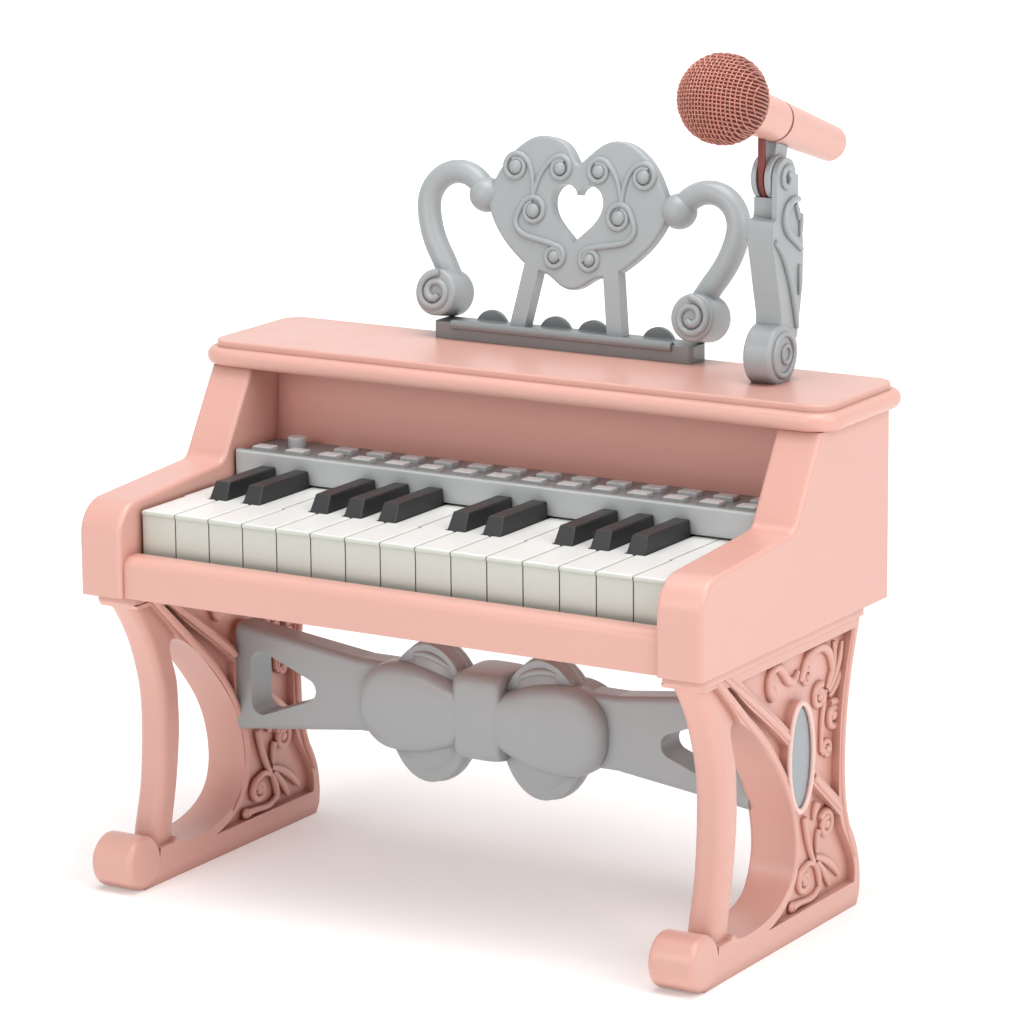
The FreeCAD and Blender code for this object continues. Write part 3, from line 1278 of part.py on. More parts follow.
def make_rest_plate():
    thick = dim.rest_thickness
    run = Vector(0, thick, 0)

    def spot(u, v):
        return Vector(u, 0, v)

    def from_shares(shares):
        half = [(u * dim.rest_half_width, v * dim.rest_height) for u, v in shares]
        curve = Part.BSplineCurve()
        other = [(-u, v) for u, v in half[-2:0:-1]]
        curve.interpolate([spot(u, v) for u, v in half + other], PeriodicFlag=True)
        return Part.Face(Part.Wire(curve.toShape()))

    plate = from_shares(PLATE_SHARES).extrude(run)
    plate = plate.makeFillet(dim.rest_edge_radius, [edge for edge in plate.Edges
                                                    if not isinstance(edge.Curve, Part.Line)])
    parts = []
    arm_plane = Vector(0, dim.rest_arm_y, 0)
    arm_path = arc_chain([spot(u * dim.rest_arm_span, v * dim.rest_height) + arm_plane
                          for u, v in REST_ARM_SHARES])
    start = arm_path.Edges[0]
    ring = Part.makeCircle(dim.rest_arm_radius, start.valueAt(start.FirstParameter),
                           start.tangentAt(start.FirstParameter))
    arm = arm_path.makePipe(Part.Face(Part.Wire(ring)))
    volute_front = dim.rest_arm_y - dim.rest_arm_radius - dim.rest_volute_front
    volute_rear = dim.rest_arm_y + dim.rest_arm_radius + dim.rest_volute_proud
    volute = Part.makeCylinder(dim.rest_volute_radius, volute_rear - volute_front,
                               Vector(dim.rest_volute_x, volute_front, dim.rest_volute_z), Y_AXIS)
    volute = volute.makeFillet(dim.rest_volute_proud, [edge for edge in volute.Edges
                                                       if isinstance(edge.Curve, Part.Circle)])
    knob_middle = spot(REST_KNOB_SHARE[0] * dim.rest_half_width, REST_KNOB_SHARE[1] * dim.rest_height)
    knob = Part.makeSphere(dim.rest_knob_radius, knob_middle + arm_plane)
    strut = band_face([(STRUT_TOP_SHARE[0] * dim.rest_half_width, STRUT_TOP_SHARE[1] * dim.rest_height),
                       (STRUT_FOOT_SHARE[0] * dim.rest_half_width, STRUT_FOOT_SHARE[1] * dim.rest_height)],
                      (dim.rest_strut_width / 2, dim.rest_strut_width / 2), spot).extrude(run)
    for solid in (arm, volute, knob, strut):
        parts += [solid, solid.mirror(Vector(), X_AXIS)]
    whole = plate.multiFuse(parts)
    heart_half = [(u * dim.rest_half_width, v * dim.rest_height) for u, v in HEART_SHARES]
    shift = Vector(0, -dim.overrun, 0)
    heart = closed_face([smooth_wire([spot(u, v) + shift for u, v in heart_half]),
                         smooth_wire([spot(-u, v) + shift for u, v in heart_half])])
    return whole.cut(heart.extrude(Vector(0, thick + 2 * dim.overrun, 0)))


def make_rest():
    plate = make_rest_plate()
    foot_level = dim.ledge_height
    floor_cut = Part.makeBox(4 * dim.rest_arm_span, 4 * dim.rest_arm_span, 4 * dim.rest_arm_span,
                             Vector(-2 * dim.rest_arm_span, -2 * dim.rest_arm_span,
                                    foot_level - 4 * dim.rest_arm_span))
    plate.rotate(Vector(), X_AXIS, -dim.rest_lean_angle)
    plate = plate.cut(floor_cut)
    return shaped("rest_plate", plate, Vector(dim.rest_x, dim.rest_front_y, lid_top))


make_rest()


# Scallops stand in pairs about the rest's middle, counted in pitches: two between the struts
# and one outside each strut.
SCALLOP_STEPS = (-2.2, -0.5, 0.5, 2.2)


def make_rest_ledge():
    """A ledge with a bead just before the struts and a scalloped crest just behind them."""
    front = ("(rest_front_y + ledge_height * tan(rest_lean_angle)"
             " - seat_gap - 2 * ledge_bead_radius)")
    strut_rear = ("(rest_front_y + rest_thickness / cos(rest_lean_angle)"
                  " + (ledge_height + scallop_rise) * tan(rest_lean_angle))")
    crest_front = f"({strut_rear} + seat_gap)"
    depth = f"({crest_front} + scallop_thickness - {front})"
    base = block("ledge_base", "ledge_width", depth, "ledge_height",
                 ("rest_x - ledge_width / 2", front, LID_TOP))
    soft = rounded("ledge_soft", base, dim.ledge_end_radius, lambda edge: runs_along(edge, Z_AXIS))
    bead = rod("ledge_bead", "ledge_bead_radius", "ledge_width - 2 * ledge_bead_inset",
               ("rest_x - ledge_width / 2 + ledge_bead_inset",
                f"{front} + ledge_bead_radius - ledge_bead_proud",
                f"{LID_TOP} + ledge_height - ledge_bead_drop"), "X")
    scallops = []
    for number, step in enumerate(SCALLOP_STEPS, start=1):
        scallops.append(rod(f"ledge_scallop_{number}", "scallop_radius", "scallop_thickness",
                            (f"rest_x + {step} * scallop_pitch", crest_front,
                             f"{LID_TOP} + ledge_height + scallop_rise - scallop_radius"), "Y"))
    crest = fuse("ledge_scallops", scallops)
    trim = block("ledge_trim", "2 * ledge_width", f"2 * {depth}", "2 * scallop_radius",
                 ("rest_x - ledge_width", f"{front} - {depth} / 2",
                  f"{LID_TOP} + ledge_height - 2 * scallop_radius"))
    crest_top = cut("ledge_crest", crest, trim)
    return piece("rest_ledge", fuse("ledge_solid", [soft, bead, crest_top]))


make_rest_ledge()


# Microphone arm: a scrolled bracket on the lid with an ear that holds a pin.
# Shares of the arm's base radius (Y, about the base disc) and of the hub height.
ARM_FRONT_SHARES = ((-0.55, 0.17), (-0.12, 0.30), (-0.30, 0.44), (-0.52, 0.58), (-0.70, 0.70), (-0.66, 0.80))
ARM_REAR_SHARES = ((0.95, 0.20), (1.22, 0.38), (1.36, 0.58), (1.25, 0.75), (1.00, 0.86))
COLLAR_FRONT_SHARE = 0.62


def make_mic_arm():
    left = dim.mic_x - dim.arm_width / 2
    run = Vector(dim.arm_width, 0, 0)
    hub = Vector(0, dim.hub_y, lid_top + dim.hub_z)

    def spot(share):
        return Vector(left, dim.arm_base_y + share[0] * dim.arm_base_radius, lid_top + share[1] * dim.hub_z)

    disc_middle = Vector(left - dim.arm_disc_rise / 2, dim.arm_base_y, lid_top + dim.arm_base_z)
    disc = Part.makeCylinder(dim.arm_base_radius, dim.arm_width + dim.arm_disc_rise, disc_middle, X_AXIS)
    disc = disc.makeFillet(dim.arm_edge_radius, [edge for edge in disc.Edges
                                                 if isinstance(edge.Curve, Part.Circle)])
    front = smooth_wire([spot(share) for share in ARM_FRONT_SHARES])
    rear = smooth_wire([spot(share) for share in ARM_REAR_SHARES])
    crown = Part.makeLine(spot(ARM_FRONT_SHARES[-1]), spot(ARM_REAR_SHARES[-1]))
    sole = Part.makeLine(spot(ARM_REAR_SHARES[0]), spot(ARM_FRONT_SHARES[0]))
    limb = closed_face([front, crown, rear, sole]).extrude(run)
    room = dim.barrel_radius + dim.barrel_gap
    collar_front = dim.hub_y - COLLAR_FRONT_SHARE * dim.barrel_radius
    collar_low = hub.z - room - dim.collar_height
    collar = Part.makeBox(dim.arm_width, spot(ARM_REAR_SHARES[-1]).y - collar_front,
                          dim.collar_height + room, Vector(left, collar_front, collar_low))
    ear_x = left + dim.arm_width - dim.ear_thickness
    ear = Part.makeCylinder(dim.ear_radius, dim.ear_thickness, Vector(ear_x, hub.y, hub.z), X_AXIS)
    strap = Part.makeBox(dim.ear_thickness, 2 * dim.ear_radius, room + dim.collar_height,
                         Vector(ear_x, hub.y - dim.ear_radius, collar_low))
    barrel_room = Part.makeCylinder(room, dim.arm_width - dim.ear_thickness + dim.overrun,
                                    Vector(left - dim.overrun, hub.y, hub.z), X_AXIS)
    above = Part.makeBox(dim.arm_width - dim.ear_thickness + dim.overrun, 4 * dim.barrel_radius,
                         2 * dim.barrel_radius,
                         Vector(left - dim.overrun, hub.y - 2 * dim.barrel_radius, hub.z))
    pin_hole = Part.makeCylinder(dim.pin_radius, dim.arm_width + 2 * dim.overrun,
                                 Vector(left - dim.overrun, hub.y, hub.z), X_AXIS)
    below = Part.makeBox(4 * dim.arm_width, 8 * dim.arm_base_radius, 2 * dim.arm_base_radius,
                         Vector(left - dim.arm_width, dim.arm_base_y - 4 * dim.arm_base_radius,
                                lid_top - 2 * dim.arm_base_radius))
    stem = limb.multiFuse([disc, collar]).cut(barrel_room).cut(above)
    whole = stem.multiFuse([ear, strap])
    return whole.cut(pin_hole).cut(below).removeSplitter()


shaped("mic_arm", make_mic_arm())


# Microphone. Its own axis runs back from the centre of the grille ball.
HUB_AT = ("mic_x - arm_width / 2", "hub_y", f"{LID_TOP} + hub_z")
mic_turn = Rotation(X_AXIS, -dim.mic_tilt)
hub_centre = Vector(dim.mic_x, dim.hub_y, lid_top + dim.hub_z)
mic_centre = hub_centre + mic_turn.multVec(Vector(0, -dim.mic_ahead_of_hub, dim.mic_above_hub))
neck_start = math.sqrt(dim.grille_radius ** 2 - dim.neck_radius ** 2)

piece("mic_pivot_pin", rod("pivot_pin", "pin_radius", "arm_width", HUB_AT, "X"))


def handle_profile(grow):
    """Half outline of the handle, from the grille to its rounded tail."""
    tail = neck_start + dim.handle_length
    collar_at = dim.collar_start
    collar_end = collar_at + dim.collar_length

    def radius_at(along):
        share = (along - neck_start) / dim.handle_length
        return dim.neck_radius + (dim.tail_radius - dim.neck_radius) * share + grow

    return [
        Vector(0, neck_start, 0),
        Vector(radius_at(neck_start), neck_start, 0),
        Vector(radius_at(collar_at), collar_at, 0),
        Vector(radius_at(collar_at) - dim.collar_step, collar_at, 0),
        Vector(radius_at(collar_end) - dim.collar_step, collar_end, 0),
        Vector(radius_at(collar_end), collar_end, 0),
        Vector(radius_at(tail), tail - dim.tail_round, 0),
        Vector(radius_at(tail) - dim.tail_round, tail, 0),
        Vector(0, tail, 0),
    ]


def lathe(points):
    face = Part.Face(Part.makePolygon(points + points[:1]))
    return face.revolve(Vector(), Y_AXIS, 4 * RIGHT_ANGLE)


handle_shape = lathe(handle_profile(0))
shaped("mic_handle", handle_shape, mic_centre, mic_turn)


def make_grille():
    ball = Part.makeSphere(dim.grille_radius).cut(Part.makeSphere(dim.grille_radius - dim.grille_wall))
    side = 2 * dim.grille_radius
    behind = Part.makeBox(2 * side, side, 2 * side, Vector(-side, neck_start, -side))
    return ball.cut(behind)


shaped("mic_grille", make_grille(), mic_centre, mic_turn)
shaped("mic_capsule", Part.makeCylinder(dim.capsule_radius, dim.capsule_length,
                                        Vector(0, neck_start - dim.capsule_length, 0), Y_AXIS),
       mic_centre, mic_turn)


def make_cradle():
    """The barrel on the pin and the saddle that carries the handle."""
    left = dim.mic_x - dim.arm_width / 2
    length = dim.arm_width - dim.ear_thickness - dim.barrel_gap
    barrel = Part.makeCylinder(dim.barrel_radius, length, Vector(left, hub_centre.y, hub_centre.z), X_AXIS)
    barrel = barrel.makeFillet(dim.arm_edge_radius / 2, [edge for edge in barrel.Edges
                                                         if isinstance(edge.Curve, Part.Circle)])
    saddle = Part.makeBox(dim.saddle_width, dim.saddle_length, dim.mic_above_hub,
                          Vector(-dim.saddle_width / 2, -dim.saddle_length / 2, 0))
    saddle.Placement = Placement(Vector(left + length / 2, hub_centre.y, hub_centre.z), mic_turn)
    handle_room = lathe(handle_profile(dim.pivot_clearance))
    handle_room.Placement = Placement(mic_centre, mic_turn)
    bore = Part.makeCylinder(dim.pin_radius + dim.pivot_clearance, dim.arm_width + 2 * dim.overrun,
                             Vector(left - dim.overrun, hub_centre.y, hub_centre.z), X_AXIS)
    groove_x = left + length / 2 - dim.groove_width / 2
    groove = Part.makeCylinder(dim.barrel_radius + dim.overrun, dim.groove_width,
                               Vector(groove_x, hub_centre.y, hub_centre.z), X_AXIS)
    groove = groove.cut(Part.makeCylinder(dim.groove_radius, dim.groove_width,
                                          Vector(groove_x, hub_centre.y, hub_centre.z), X_AXIS))
    return barrel.cut(groove).fuse(saddle).cut(handle_room).cut(bore).removeSplitter()


shaped("mic_cradle", make_cradle())


def make_lead():
    """The short lead: straight down from the handle, then round the barrel's groove."""
    reach = dim.groove_radius + dim.lead_gap + dim.lead_radius
    x = dim.mic_x - (dim.ear_thickness + dim.barrel_gap) / 2
    centre = Vector(x, hub_centre.y, hub_centre.z)
    start = centre + Vector(0, -reach, dim.mic_above_hub)
    bend = centre + Vector(0, -reach, 0)
    sweep = math.radians(dim.lead_sweep_angle)

    def on_barrel(angle):
        return centre + Vector(0, -reach * math.cos(angle), -reach * math.sin(angle))

    path = Part.Wire([
        Part.makeLine(start, bend),
        Part.Arc(bend, on_barrel(sweep / 2), on_barrel(sweep)).toShape(),
    ])
    ring = Part.Wire(Part.makeCircle(dim.lead_radius, start, Z_AXIS))
    tube = path.makePipeShell([ring], True, True)
    section = math.pi * dim.lead_radius ** 2
    print(f"mic_lead: radius {dim.lead_radius:.2f}, bend {reach:.2f}, path {path.Length:.2f} mm, "
          f"volume {tube.Volume:.1f} of {section * path.Length:.1f} mm3 before the handle is cut away")
    handle_room = lathe(handle_profile(0))
    handle_room.Placement = Placement(mic_centre, mic_turn)
    return tube.cut(handle_room)


shaped("mic_lead", make_lead())

# Every object must be sound before any piece is written.
doc.recompute()
for item in doc.Objects:
    if "Invalid" in item.State or "Error" in item.State:
        raise RuntimeError(f"{item.Name} failed: {item.State}")
for name, solid in pieces.items():
    shape = solid.Shape
    if shape.isNull() or not shape.isValid() or not shape.Solids:
        raise RuntimeError(f"{name} has no sound solid")
    if solid.Label != name:
        raise RuntimeError(f"{name} is labelled {solid.Label}")

os.makedirs("parts", exist_ok=True)
for name, solid in pieces.items():
    solid.Shape.exportStep(f"parts/{name}.step")
print(f"{len(pieces)} pieces written")
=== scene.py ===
import math

import bmesh
import bpy
from mathutils import Matrix, Vector


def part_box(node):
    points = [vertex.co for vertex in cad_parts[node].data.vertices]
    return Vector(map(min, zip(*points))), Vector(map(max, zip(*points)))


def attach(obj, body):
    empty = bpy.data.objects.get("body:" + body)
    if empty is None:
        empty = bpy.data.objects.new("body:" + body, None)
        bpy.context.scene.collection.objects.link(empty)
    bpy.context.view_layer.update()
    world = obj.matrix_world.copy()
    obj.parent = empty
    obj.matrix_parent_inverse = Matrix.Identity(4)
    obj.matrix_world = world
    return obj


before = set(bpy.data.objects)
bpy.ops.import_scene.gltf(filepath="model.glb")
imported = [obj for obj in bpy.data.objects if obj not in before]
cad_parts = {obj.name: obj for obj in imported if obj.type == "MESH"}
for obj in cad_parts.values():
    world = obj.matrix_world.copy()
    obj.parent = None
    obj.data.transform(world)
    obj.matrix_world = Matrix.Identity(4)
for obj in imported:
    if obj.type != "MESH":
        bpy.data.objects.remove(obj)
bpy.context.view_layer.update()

# Studio. The camera stands to the right of the keyboard and a little above it, with a
# long lens. A pale floor and large soft panels at the right, overhead and in front
# give the even light of a product table.
CAMERA_PLACE = Vector((1.2684, -2.0752, 0.7675))
CAMERA_TURN = math.radians(31.285)
CAMERA_RISE = math.radians(12.984)
CAMERA_ROLL = math.radians(-0.5)
CAMERA_LENS = 163.87
SENSOR_WIDTH = 36.0

scene = bpy.context.scene
scene.view_settings.view_transform = "Standard"


def stand_camera():
    """Place the camera by its turn round the piano, its rise and its roll."""
    back = Vector((math.sin(CAMERA_TURN) * math.cos(CAMERA_RISE),
                   -math.cos(CAMERA_TURN) * math.cos(CAMERA_RISE), math.sin(CAMERA_RISE)))
    level_right = Vector((math.cos(CAMERA_TURN), math.sin(CAMERA_TURN), 0))
    level_up = back.cross(level_right)
    right = level_right * math.cos(CAMERA_ROLL) + level_up * math.sin(CAMERA_ROLL)
    up = back.cross(right)
    lens = bpy.data.cameras.new("camera")
    lens.sensor_width = SENSOR_WIDTH
    lens.lens = CAMERA_LENS
    camera = bpy.data.objects.new("camera", lens)
    scene.collection.objects.link(camera)
    turn = Matrix((right, up, back)).transposed().to_4x4()
    camera.matrix_world = Matrix.Translation(CAMERA_PLACE) @ turn
    scene.camera = camera


PANEL_AIM = Vector((0.0, 0.0, 0.22))
# Name, place, width in metres and power in watts.
LIGHT_PANELS = (
    ("right_panel", (2.1, -0.4, 1.5), 1.5, 24.0),
    ("overhead_panel", (0.1, -0.1, 2.2), 1.5, 34.0),
    ("front_panel", (-0.5, -2.2, 1.15), 1.0, 13.0),
)


def light_panel(name, place, width, power):
    """A square light that looks at the middle of the piano."""
    panel = bpy.data.lights.new(name, "AREA")
    panel.size = width
    panel.energy = power
    holder = bpy.data.objects.new(name, panel)
    scene.collection.objects.link(holder)
    turn = (PANEL_AIM - Vector(place)).to_track_quat("-Z", "Y").to_matrix().to_4x4()
    holder.matrix_world = Matrix.Translation(place) @ turn


stand_camera()
for panel_values in LIGHT_PANELS:
    light_panel(*panel_values)

ROOM_COLOUR = (1.0, 0.995, 0.99, 1.0)
ROOM_STRENGTH = 0.27
PAPER_COLOUR = (1.0, 1.0, 1.0, 1.0)
PAPER_STRENGTH = 0.98
FLOOR_HALF = 6.0
FLOOR_COLOUR = (0.92, 0.915, 0.91, 1.0)
FLOOR_ROUGHNESS = 0.7
# The floor's glow: where it starts and is full, in metres from the piano, and how strong it is there.
GLOW_START = 0.35
GLOW_FULL = 2.6
GLOW_NEAR = 0.24
GLOW_FAR = 0.95


def node(tree, kind, inputs=None, **settings):
    """Add a node, set its fields, and fill or link its inputs."""
    made = tree.nodes.new(kind)
    for name, value in settings.items():
        setattr(made, name, value)
    for name, value in (inputs or {}).items():
        if isinstance(value, bpy.types.NodeSocket):
            tree.links.new(value, made.inputs[name])
        else:
            made.inputs[name].default_value = value
    return made


def hang_backdrop():
    """A dim grey room that lights the piano, and white paper that the lens and the gloss see."""
    world = bpy.data.worlds.new("daylight")
    world.use_nodes = True
    tree = world.node_tree
    room = tree.nodes["Background"]
    room.inputs["Color"].default_value = ROOM_COLOUR
    room.inputs["Strength"].default_value = ROOM_STRENGTH
    paper = node(tree, "ShaderNodeBackground", {"Color": PAPER_COLOUR, "Strength": PAPER_STRENGTH})
    rays = node(tree, "ShaderNodeLightPath").outputs
    seen = node(tree, "ShaderNodeMath", {0: rays["Is Camera Ray"], 1: rays["Is Glossy Ray"]},
                operation="MAXIMUM")
    both = node(tree, "ShaderNodeMixShader", {0: seen.outputs[0], 1: room.outputs[0], 2: paper.outputs[0]})
    tree.links.new(both.outputs[0], tree.nodes["World Output"].inputs["Surface"])
    scene.world = world


def lay_floor():
    """Pale paper that glows towards its far end, as a sweep lit from behind does."""
    mesh = bpy.data.meshes.new("floor")
    corners = [(-1, -1), (1, -1), (1, 1), (-1, 1)]
    mesh.from_pydata([(x * FLOOR_HALF, y * FLOOR_HALF, 0) for x, y in corners], [], [(0, 1, 2, 3)])
    paint = bpy.data.materials.new("floor_paint")
    paint.use_nodes = True
    tree = paint.node_tree
    shader = tree.nodes["Principled BSDF"]
    shader.inputs["Base Color"].default_value = FLOOR_COLOUR
    shader.inputs["Roughness"].default_value = FLOOR_ROUGHNESS
    place = node(tree, "ShaderNodeTexCoord").outputs["Object"]
    away = node(tree, "ShaderNodeVectorMath", {0: place}, operation="LENGTH")
    glow = node(tree, "ShaderNodeMapRange",
                {"Value": away.outputs["Value"], "From Min": GLOW_START, "From Max": GLOW_FULL,
                 "To Min": GLOW_NEAR, "To Max": GLOW_FAR}).outputs["Result"]
    lit = node(tree, "ShaderNodeCombineColor", {"Red": glow, "Green": glow, "Blue": glow})
    tree.links.new(lit.outputs["Color"], shader.inputs["Emission Color"])
    shader.inputs["Emission Strength"].default_value = 1.0
    mesh.materials.append(paint)
    floor = bpy.data.objects.new("floor", mesh)
    scene.collection.objects.link(floor)


hang_backdrop()
lay_floor()

# Cabinet shell: the two cheeks with their raked sides, the front rail, the fallboard and
# the lid. They are injection-moulded plastic, snapped and screwed together, with a satin
# skin that shows a faint grain and rubs paler along its edges.
MM = 0.001
# How far the painted shade in creases looks for nearby surfaces.
CREASE_SHADE_REACH = 7.0 * MM
GRAIN_DEPTH = 0.2 * MM
COAT_ROUGHNESS = 0.25


def mixed_colour(tree, share, first, second):
    """A colour between first and second, by share. Sockets 6 and 7 are the colour inputs."""
    made = tree.nodes.new("ShaderNodeMix")
    made.data_type = "RGBA"
    for index, value in ((0, share), (6, first), (7, second)):
        if isinstance(value, bpy.types.NodeSocket):
            tree.links.new(value, made.inputs[index])
        else:
            made.inputs[index].default_value = value
    return made.outputs[2]


def new_group(name, inputs, outputs):
    """An empty shader group with named sockets, and its two end nodes."""
    group = bpy.data.node_groups.new(name, "ShaderNodeTree")
    for label, kind in inputs:
        group.interface.new_socket(label, in_out="INPUT", socket_type=kind)
    for label, kind in outputs:
        group.interface.new_socket(label, in_out="OUTPUT", socket_type=kind)
    return group, node(group, "NodeGroupInput"), node(group, "NodeGroupOutput")


def make_moulded_skin():
    """Slow tone drift, painted shade deepening the creases, handling smudges and the grain of a
    spark-eroded mould.
    """
    group, given, result = new_group(
        "moulded_skin",
        [("Tint", "NodeSocketColor"), ("Drift", "NodeSocketFloat"), ("Roughness", "NodeSocketFloat"),
         ("Grain Scale", "NodeSocketFloat"), ("Crease Shade", "NodeSocketFloat")],
        [("Color", "NodeSocketColor"), ("Roughness", "NodeSocketFloat"), ("Height", "NodeSocketFloat")])
    place = node(group, "ShaderNodeTexCoord").outputs["Object"]
    drift = node(group, "ShaderNodeTexNoise", {"Vector": place, "Scale": 11.0, "Detail": 3.0})
    deeper = node(group, "ShaderNodeHueSaturation",
                  {"Color": given.outputs["Tint"], "Saturation": 1.10, "Value": 0.90})
    share = node(group, "ShaderNodeMath", {0: drift.outputs["Fac"], 1: given.outputs["Drift"]},
                 operation="MULTIPLY")
    drifted = mixed_colour(group, share.outputs[0], given.outputs["Tint"], deeper.outputs["Color"])
    # Painted shade: where occlusion finds surfaces close by, the colour turns darker and more saturated.
    open_sky = node(group, "ShaderNodeAmbientOcclusion", {"Distance": CREASE_SHADE_REACH}, samples=6)
    crease_shade = node(group, "ShaderNodeMapRange",
                  {"Value": open_sky.outputs["AO"], "From Min": 0.95, "From Max": 0.25,
                   "To Min": 0.0, "To Max": given.outputs["Crease Shade"]})
    shaded = node(group, "ShaderNodeHueSaturation", {"Color": drifted, "Saturation": 1.34, "Value": 0.50})
    colour = mixed_colour(group, crease_shade.outputs["Result"], drifted, shaded.outputs["Color"])
    smudge = node(group, "ShaderNodeTexNoise",
                  {"Vector": place, "Scale": 38.0, "Detail": 5.0, "Roughness": 0.62})
    swing = node(group, "ShaderNodeMapRange",
                 {"Value": smudge.outputs["Fac"], "From Min": 0.3, "From Max": 0.7,
                  "To Min": -0.05, "To Max": 0.07})
    rough = node(group, "ShaderNodeMath", {0: given.outputs["Roughness"], 1: swing.outputs["Result"]},
                 operation="ADD")
    grain = node(group, "ShaderNodeTexNoise",
                 {"Vector": place, "Scale": given.outputs["Grain Scale"], "Detail": 2.0})
    group.links.new(colour, result.inputs["Color"])
    group.links.new(rough.outputs[0], result.inputs["Roughness"])
    group.links.new(grain.outputs["Fac"], result.inputs["Height"])
    return group


def make_edge_rub():
    """A broken mask along edges, where the rounded normal leaves the face's own."""
    group, given, result = new_group(
        "edge_rub", [("Rounded Normal", "NodeSocketVector"), ("Amount", "NodeSocketFloat")],
        [("Mask", "NodeSocketFloat")])
    flat = node(group, "ShaderNodeNewGeometry").outputs["Normal"]
    agree = node(group, "ShaderNodeVectorMath", {0: flat, 1: given.outputs["Rounded Normal"]},
                 operation="DOT_PRODUCT")
    edge = node(group, "ShaderNodeMapRange",
                {"Value": agree.outputs["Value"], "From Min": 0.98, "From Max": 0.80,
                 "To Min": 0.0, "To Max": 1.0})
    place = node(group, "ShaderNodeTexCoord").outputs["Object"]
    patches = node(group, "ShaderNodeTexNoise", {"Vector": place, "Scale": 90.0, "Detail": 4.0})
    broken = node(group, "ShaderNodeMath", {0: edge.outputs["Result"], 1: patches.outputs["Fac"]},
                  operation="MULTIPLY")
    mask = node(group, "ShaderNodeMath", {0: broken.outputs[0], 1: given.outputs["Amount"]},
                operation="MULTIPLY")
    group.links.new(mask.outputs[0], result.inputs["Mask"])
    return group


moulded_skin = make_moulded_skin()
edge_rub = make_edge_rub()


def facing_up(tree):
    """A mask that is one on faces that look up."""
    normal = node(tree, "ShaderNodeNewGeometry").outputs["Normal"]
    height = node(tree, "ShaderNodeSeparateXYZ", {"Vector": normal}).outputs["Z"]
    mask = node(tree, "ShaderNodeMapRange", {"Value": height, "From Min": 0.5, "From Max": 0.9})
    return mask.outputs["Result"]


def moulded_plastic(name, tint, worn, roughness, side_shading_tint=None, drift=0.5, grain_scale=1400.0, grain=0.10,
                    soft_edge=0.7 * MM, rub=0.6, coat=0.12, crease_shade=0.8):
    """Moulded plastic with softened edges that are rubbed towards the worn colour. A side tint colours
    the faces that don't look up, as painted light or shade on them."""
    paint = bpy.data.materials.new(name)
    paint.use_nodes = True
    tree = paint.node_tree
    shader = tree.nodes["Principled BSDF"]
    rounded = node(tree, "ShaderNodeBevel", {"Radius": soft_edge}, samples=6)
    skin = node(tree, "ShaderNodeGroup", node_tree=moulded_skin)
    skin.inputs["Tint"].default_value = tint
    if side_shading_tint:
        tree.links.new(mixed_colour(tree, facing_up(tree), side_shading_tint, tint), skin.inputs["Tint"])
    skin.inputs["Drift"].default_value = drift
    skin.inputs["Roughness"].default_value = roughness
    skin.inputs["Grain Scale"].default_value = grain_scale
    # How much painted shade the creases get.
    skin.inputs["Crease Shade"].default_value = crease_shade
    rubbed = node(tree, "ShaderNodeGroup", node_tree=edge_rub)
    rubbed.inputs["Amount"].default_value = rub
    tree.links.new(rounded.outputs["Normal"], rubbed.inputs["Rounded Normal"])
    colour = mixed_colour(tree, rubbed.outputs["Mask"], skin.outputs["Color"], worn)
    bump = node(tree, "ShaderNodeBump", {"Height": skin.outputs["Height"], "Strength": grain,
                                         "Distance": GRAIN_DEPTH, "Normal": rounded.outputs["Normal"]})
    tree.links.new(colour, shader.inputs["Base Color"])
    tree.links.new(skin.outputs["Roughness"], shader.inputs["Roughness"])
    tree.links.new(bump.outputs["Normal"], shader.inputs["Normal"])
    shader.inputs["Coat Weight"].default_value = coat
    shader.inputs["Coat Roughness"].default_value = COAT_ROUGHNESS
    return paint


def finish(paint, *names):
    """Give CAD pieces their finish."""
    for name in names:
        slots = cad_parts[name].data.materials
        slots.clear()
        slots.append(paint)


PINK = (0.735, 0.405, 0.340, 1.0)
PALE_PINK = (0.86, 0.60, 0.54, 1.0)
pink_plastic = moulded_plastic("pink_plastic", tint=PINK, worn=PALE_PINK, roughness=0.40, coat=0.45)
# The fallboard's pink is a deeper copy of the cabinet pink: painted shade for the lid's overhang.
shaded_pink = moulded_plastic("shaded_pink", tint=(0.74, 0.375, 0.31, 1.0), worn=PALE_PINK, roughness=0.42,
                            crease_shade=0.1)
finish(pink_plastic, "left_side", "right_side", "front_rail", "lid")
finish(shaded_pink, "fallboard")

# Underside and back: the base tray with its battery door and cells, and the back panel
# with sound slots over the loudspeaker. The plastic is a deeper pink with a coarser grain.
pink_matte = moulded_plastic("pink_matte", tint=(0.69, 0.37, 0.31, 1.0), worn=PALE_PINK, roughness=0.55,
                             grain_scale=900.0, grain=0.25, coat=0.0)
cell_jacket = moulded_plastic("cell_jacket", tint=(0.09, 0.09, 0.10, 1.0), worn=(0.3, 0.3, 0.3, 1.0),
                              roughness=0.32)
speaker_paper = moulded_plastic("speaker_paper", tint=(0.05, 0.047, 0.043, 1.0),
                                worn=(0.09, 0.085, 0.08, 1.0), roughness=0.85,
                                grain_scale=500.0, grain=0.5, coat=0.0)
speaker_metal = moulded_plastic("speaker_metal", tint=(0.045, 0.045, 0.047, 1.0),
                                worn=(0.3, 0.3, 0.3, 1.0), roughness=0.38)
finish(pink_matte, "base_tray", "battery_cover", "back_panel")
finish(cell_jacket, "battery_cells")
finish(speaker_metal, "speaker_frame")
finish(speaker_paper, "speaker_cone")

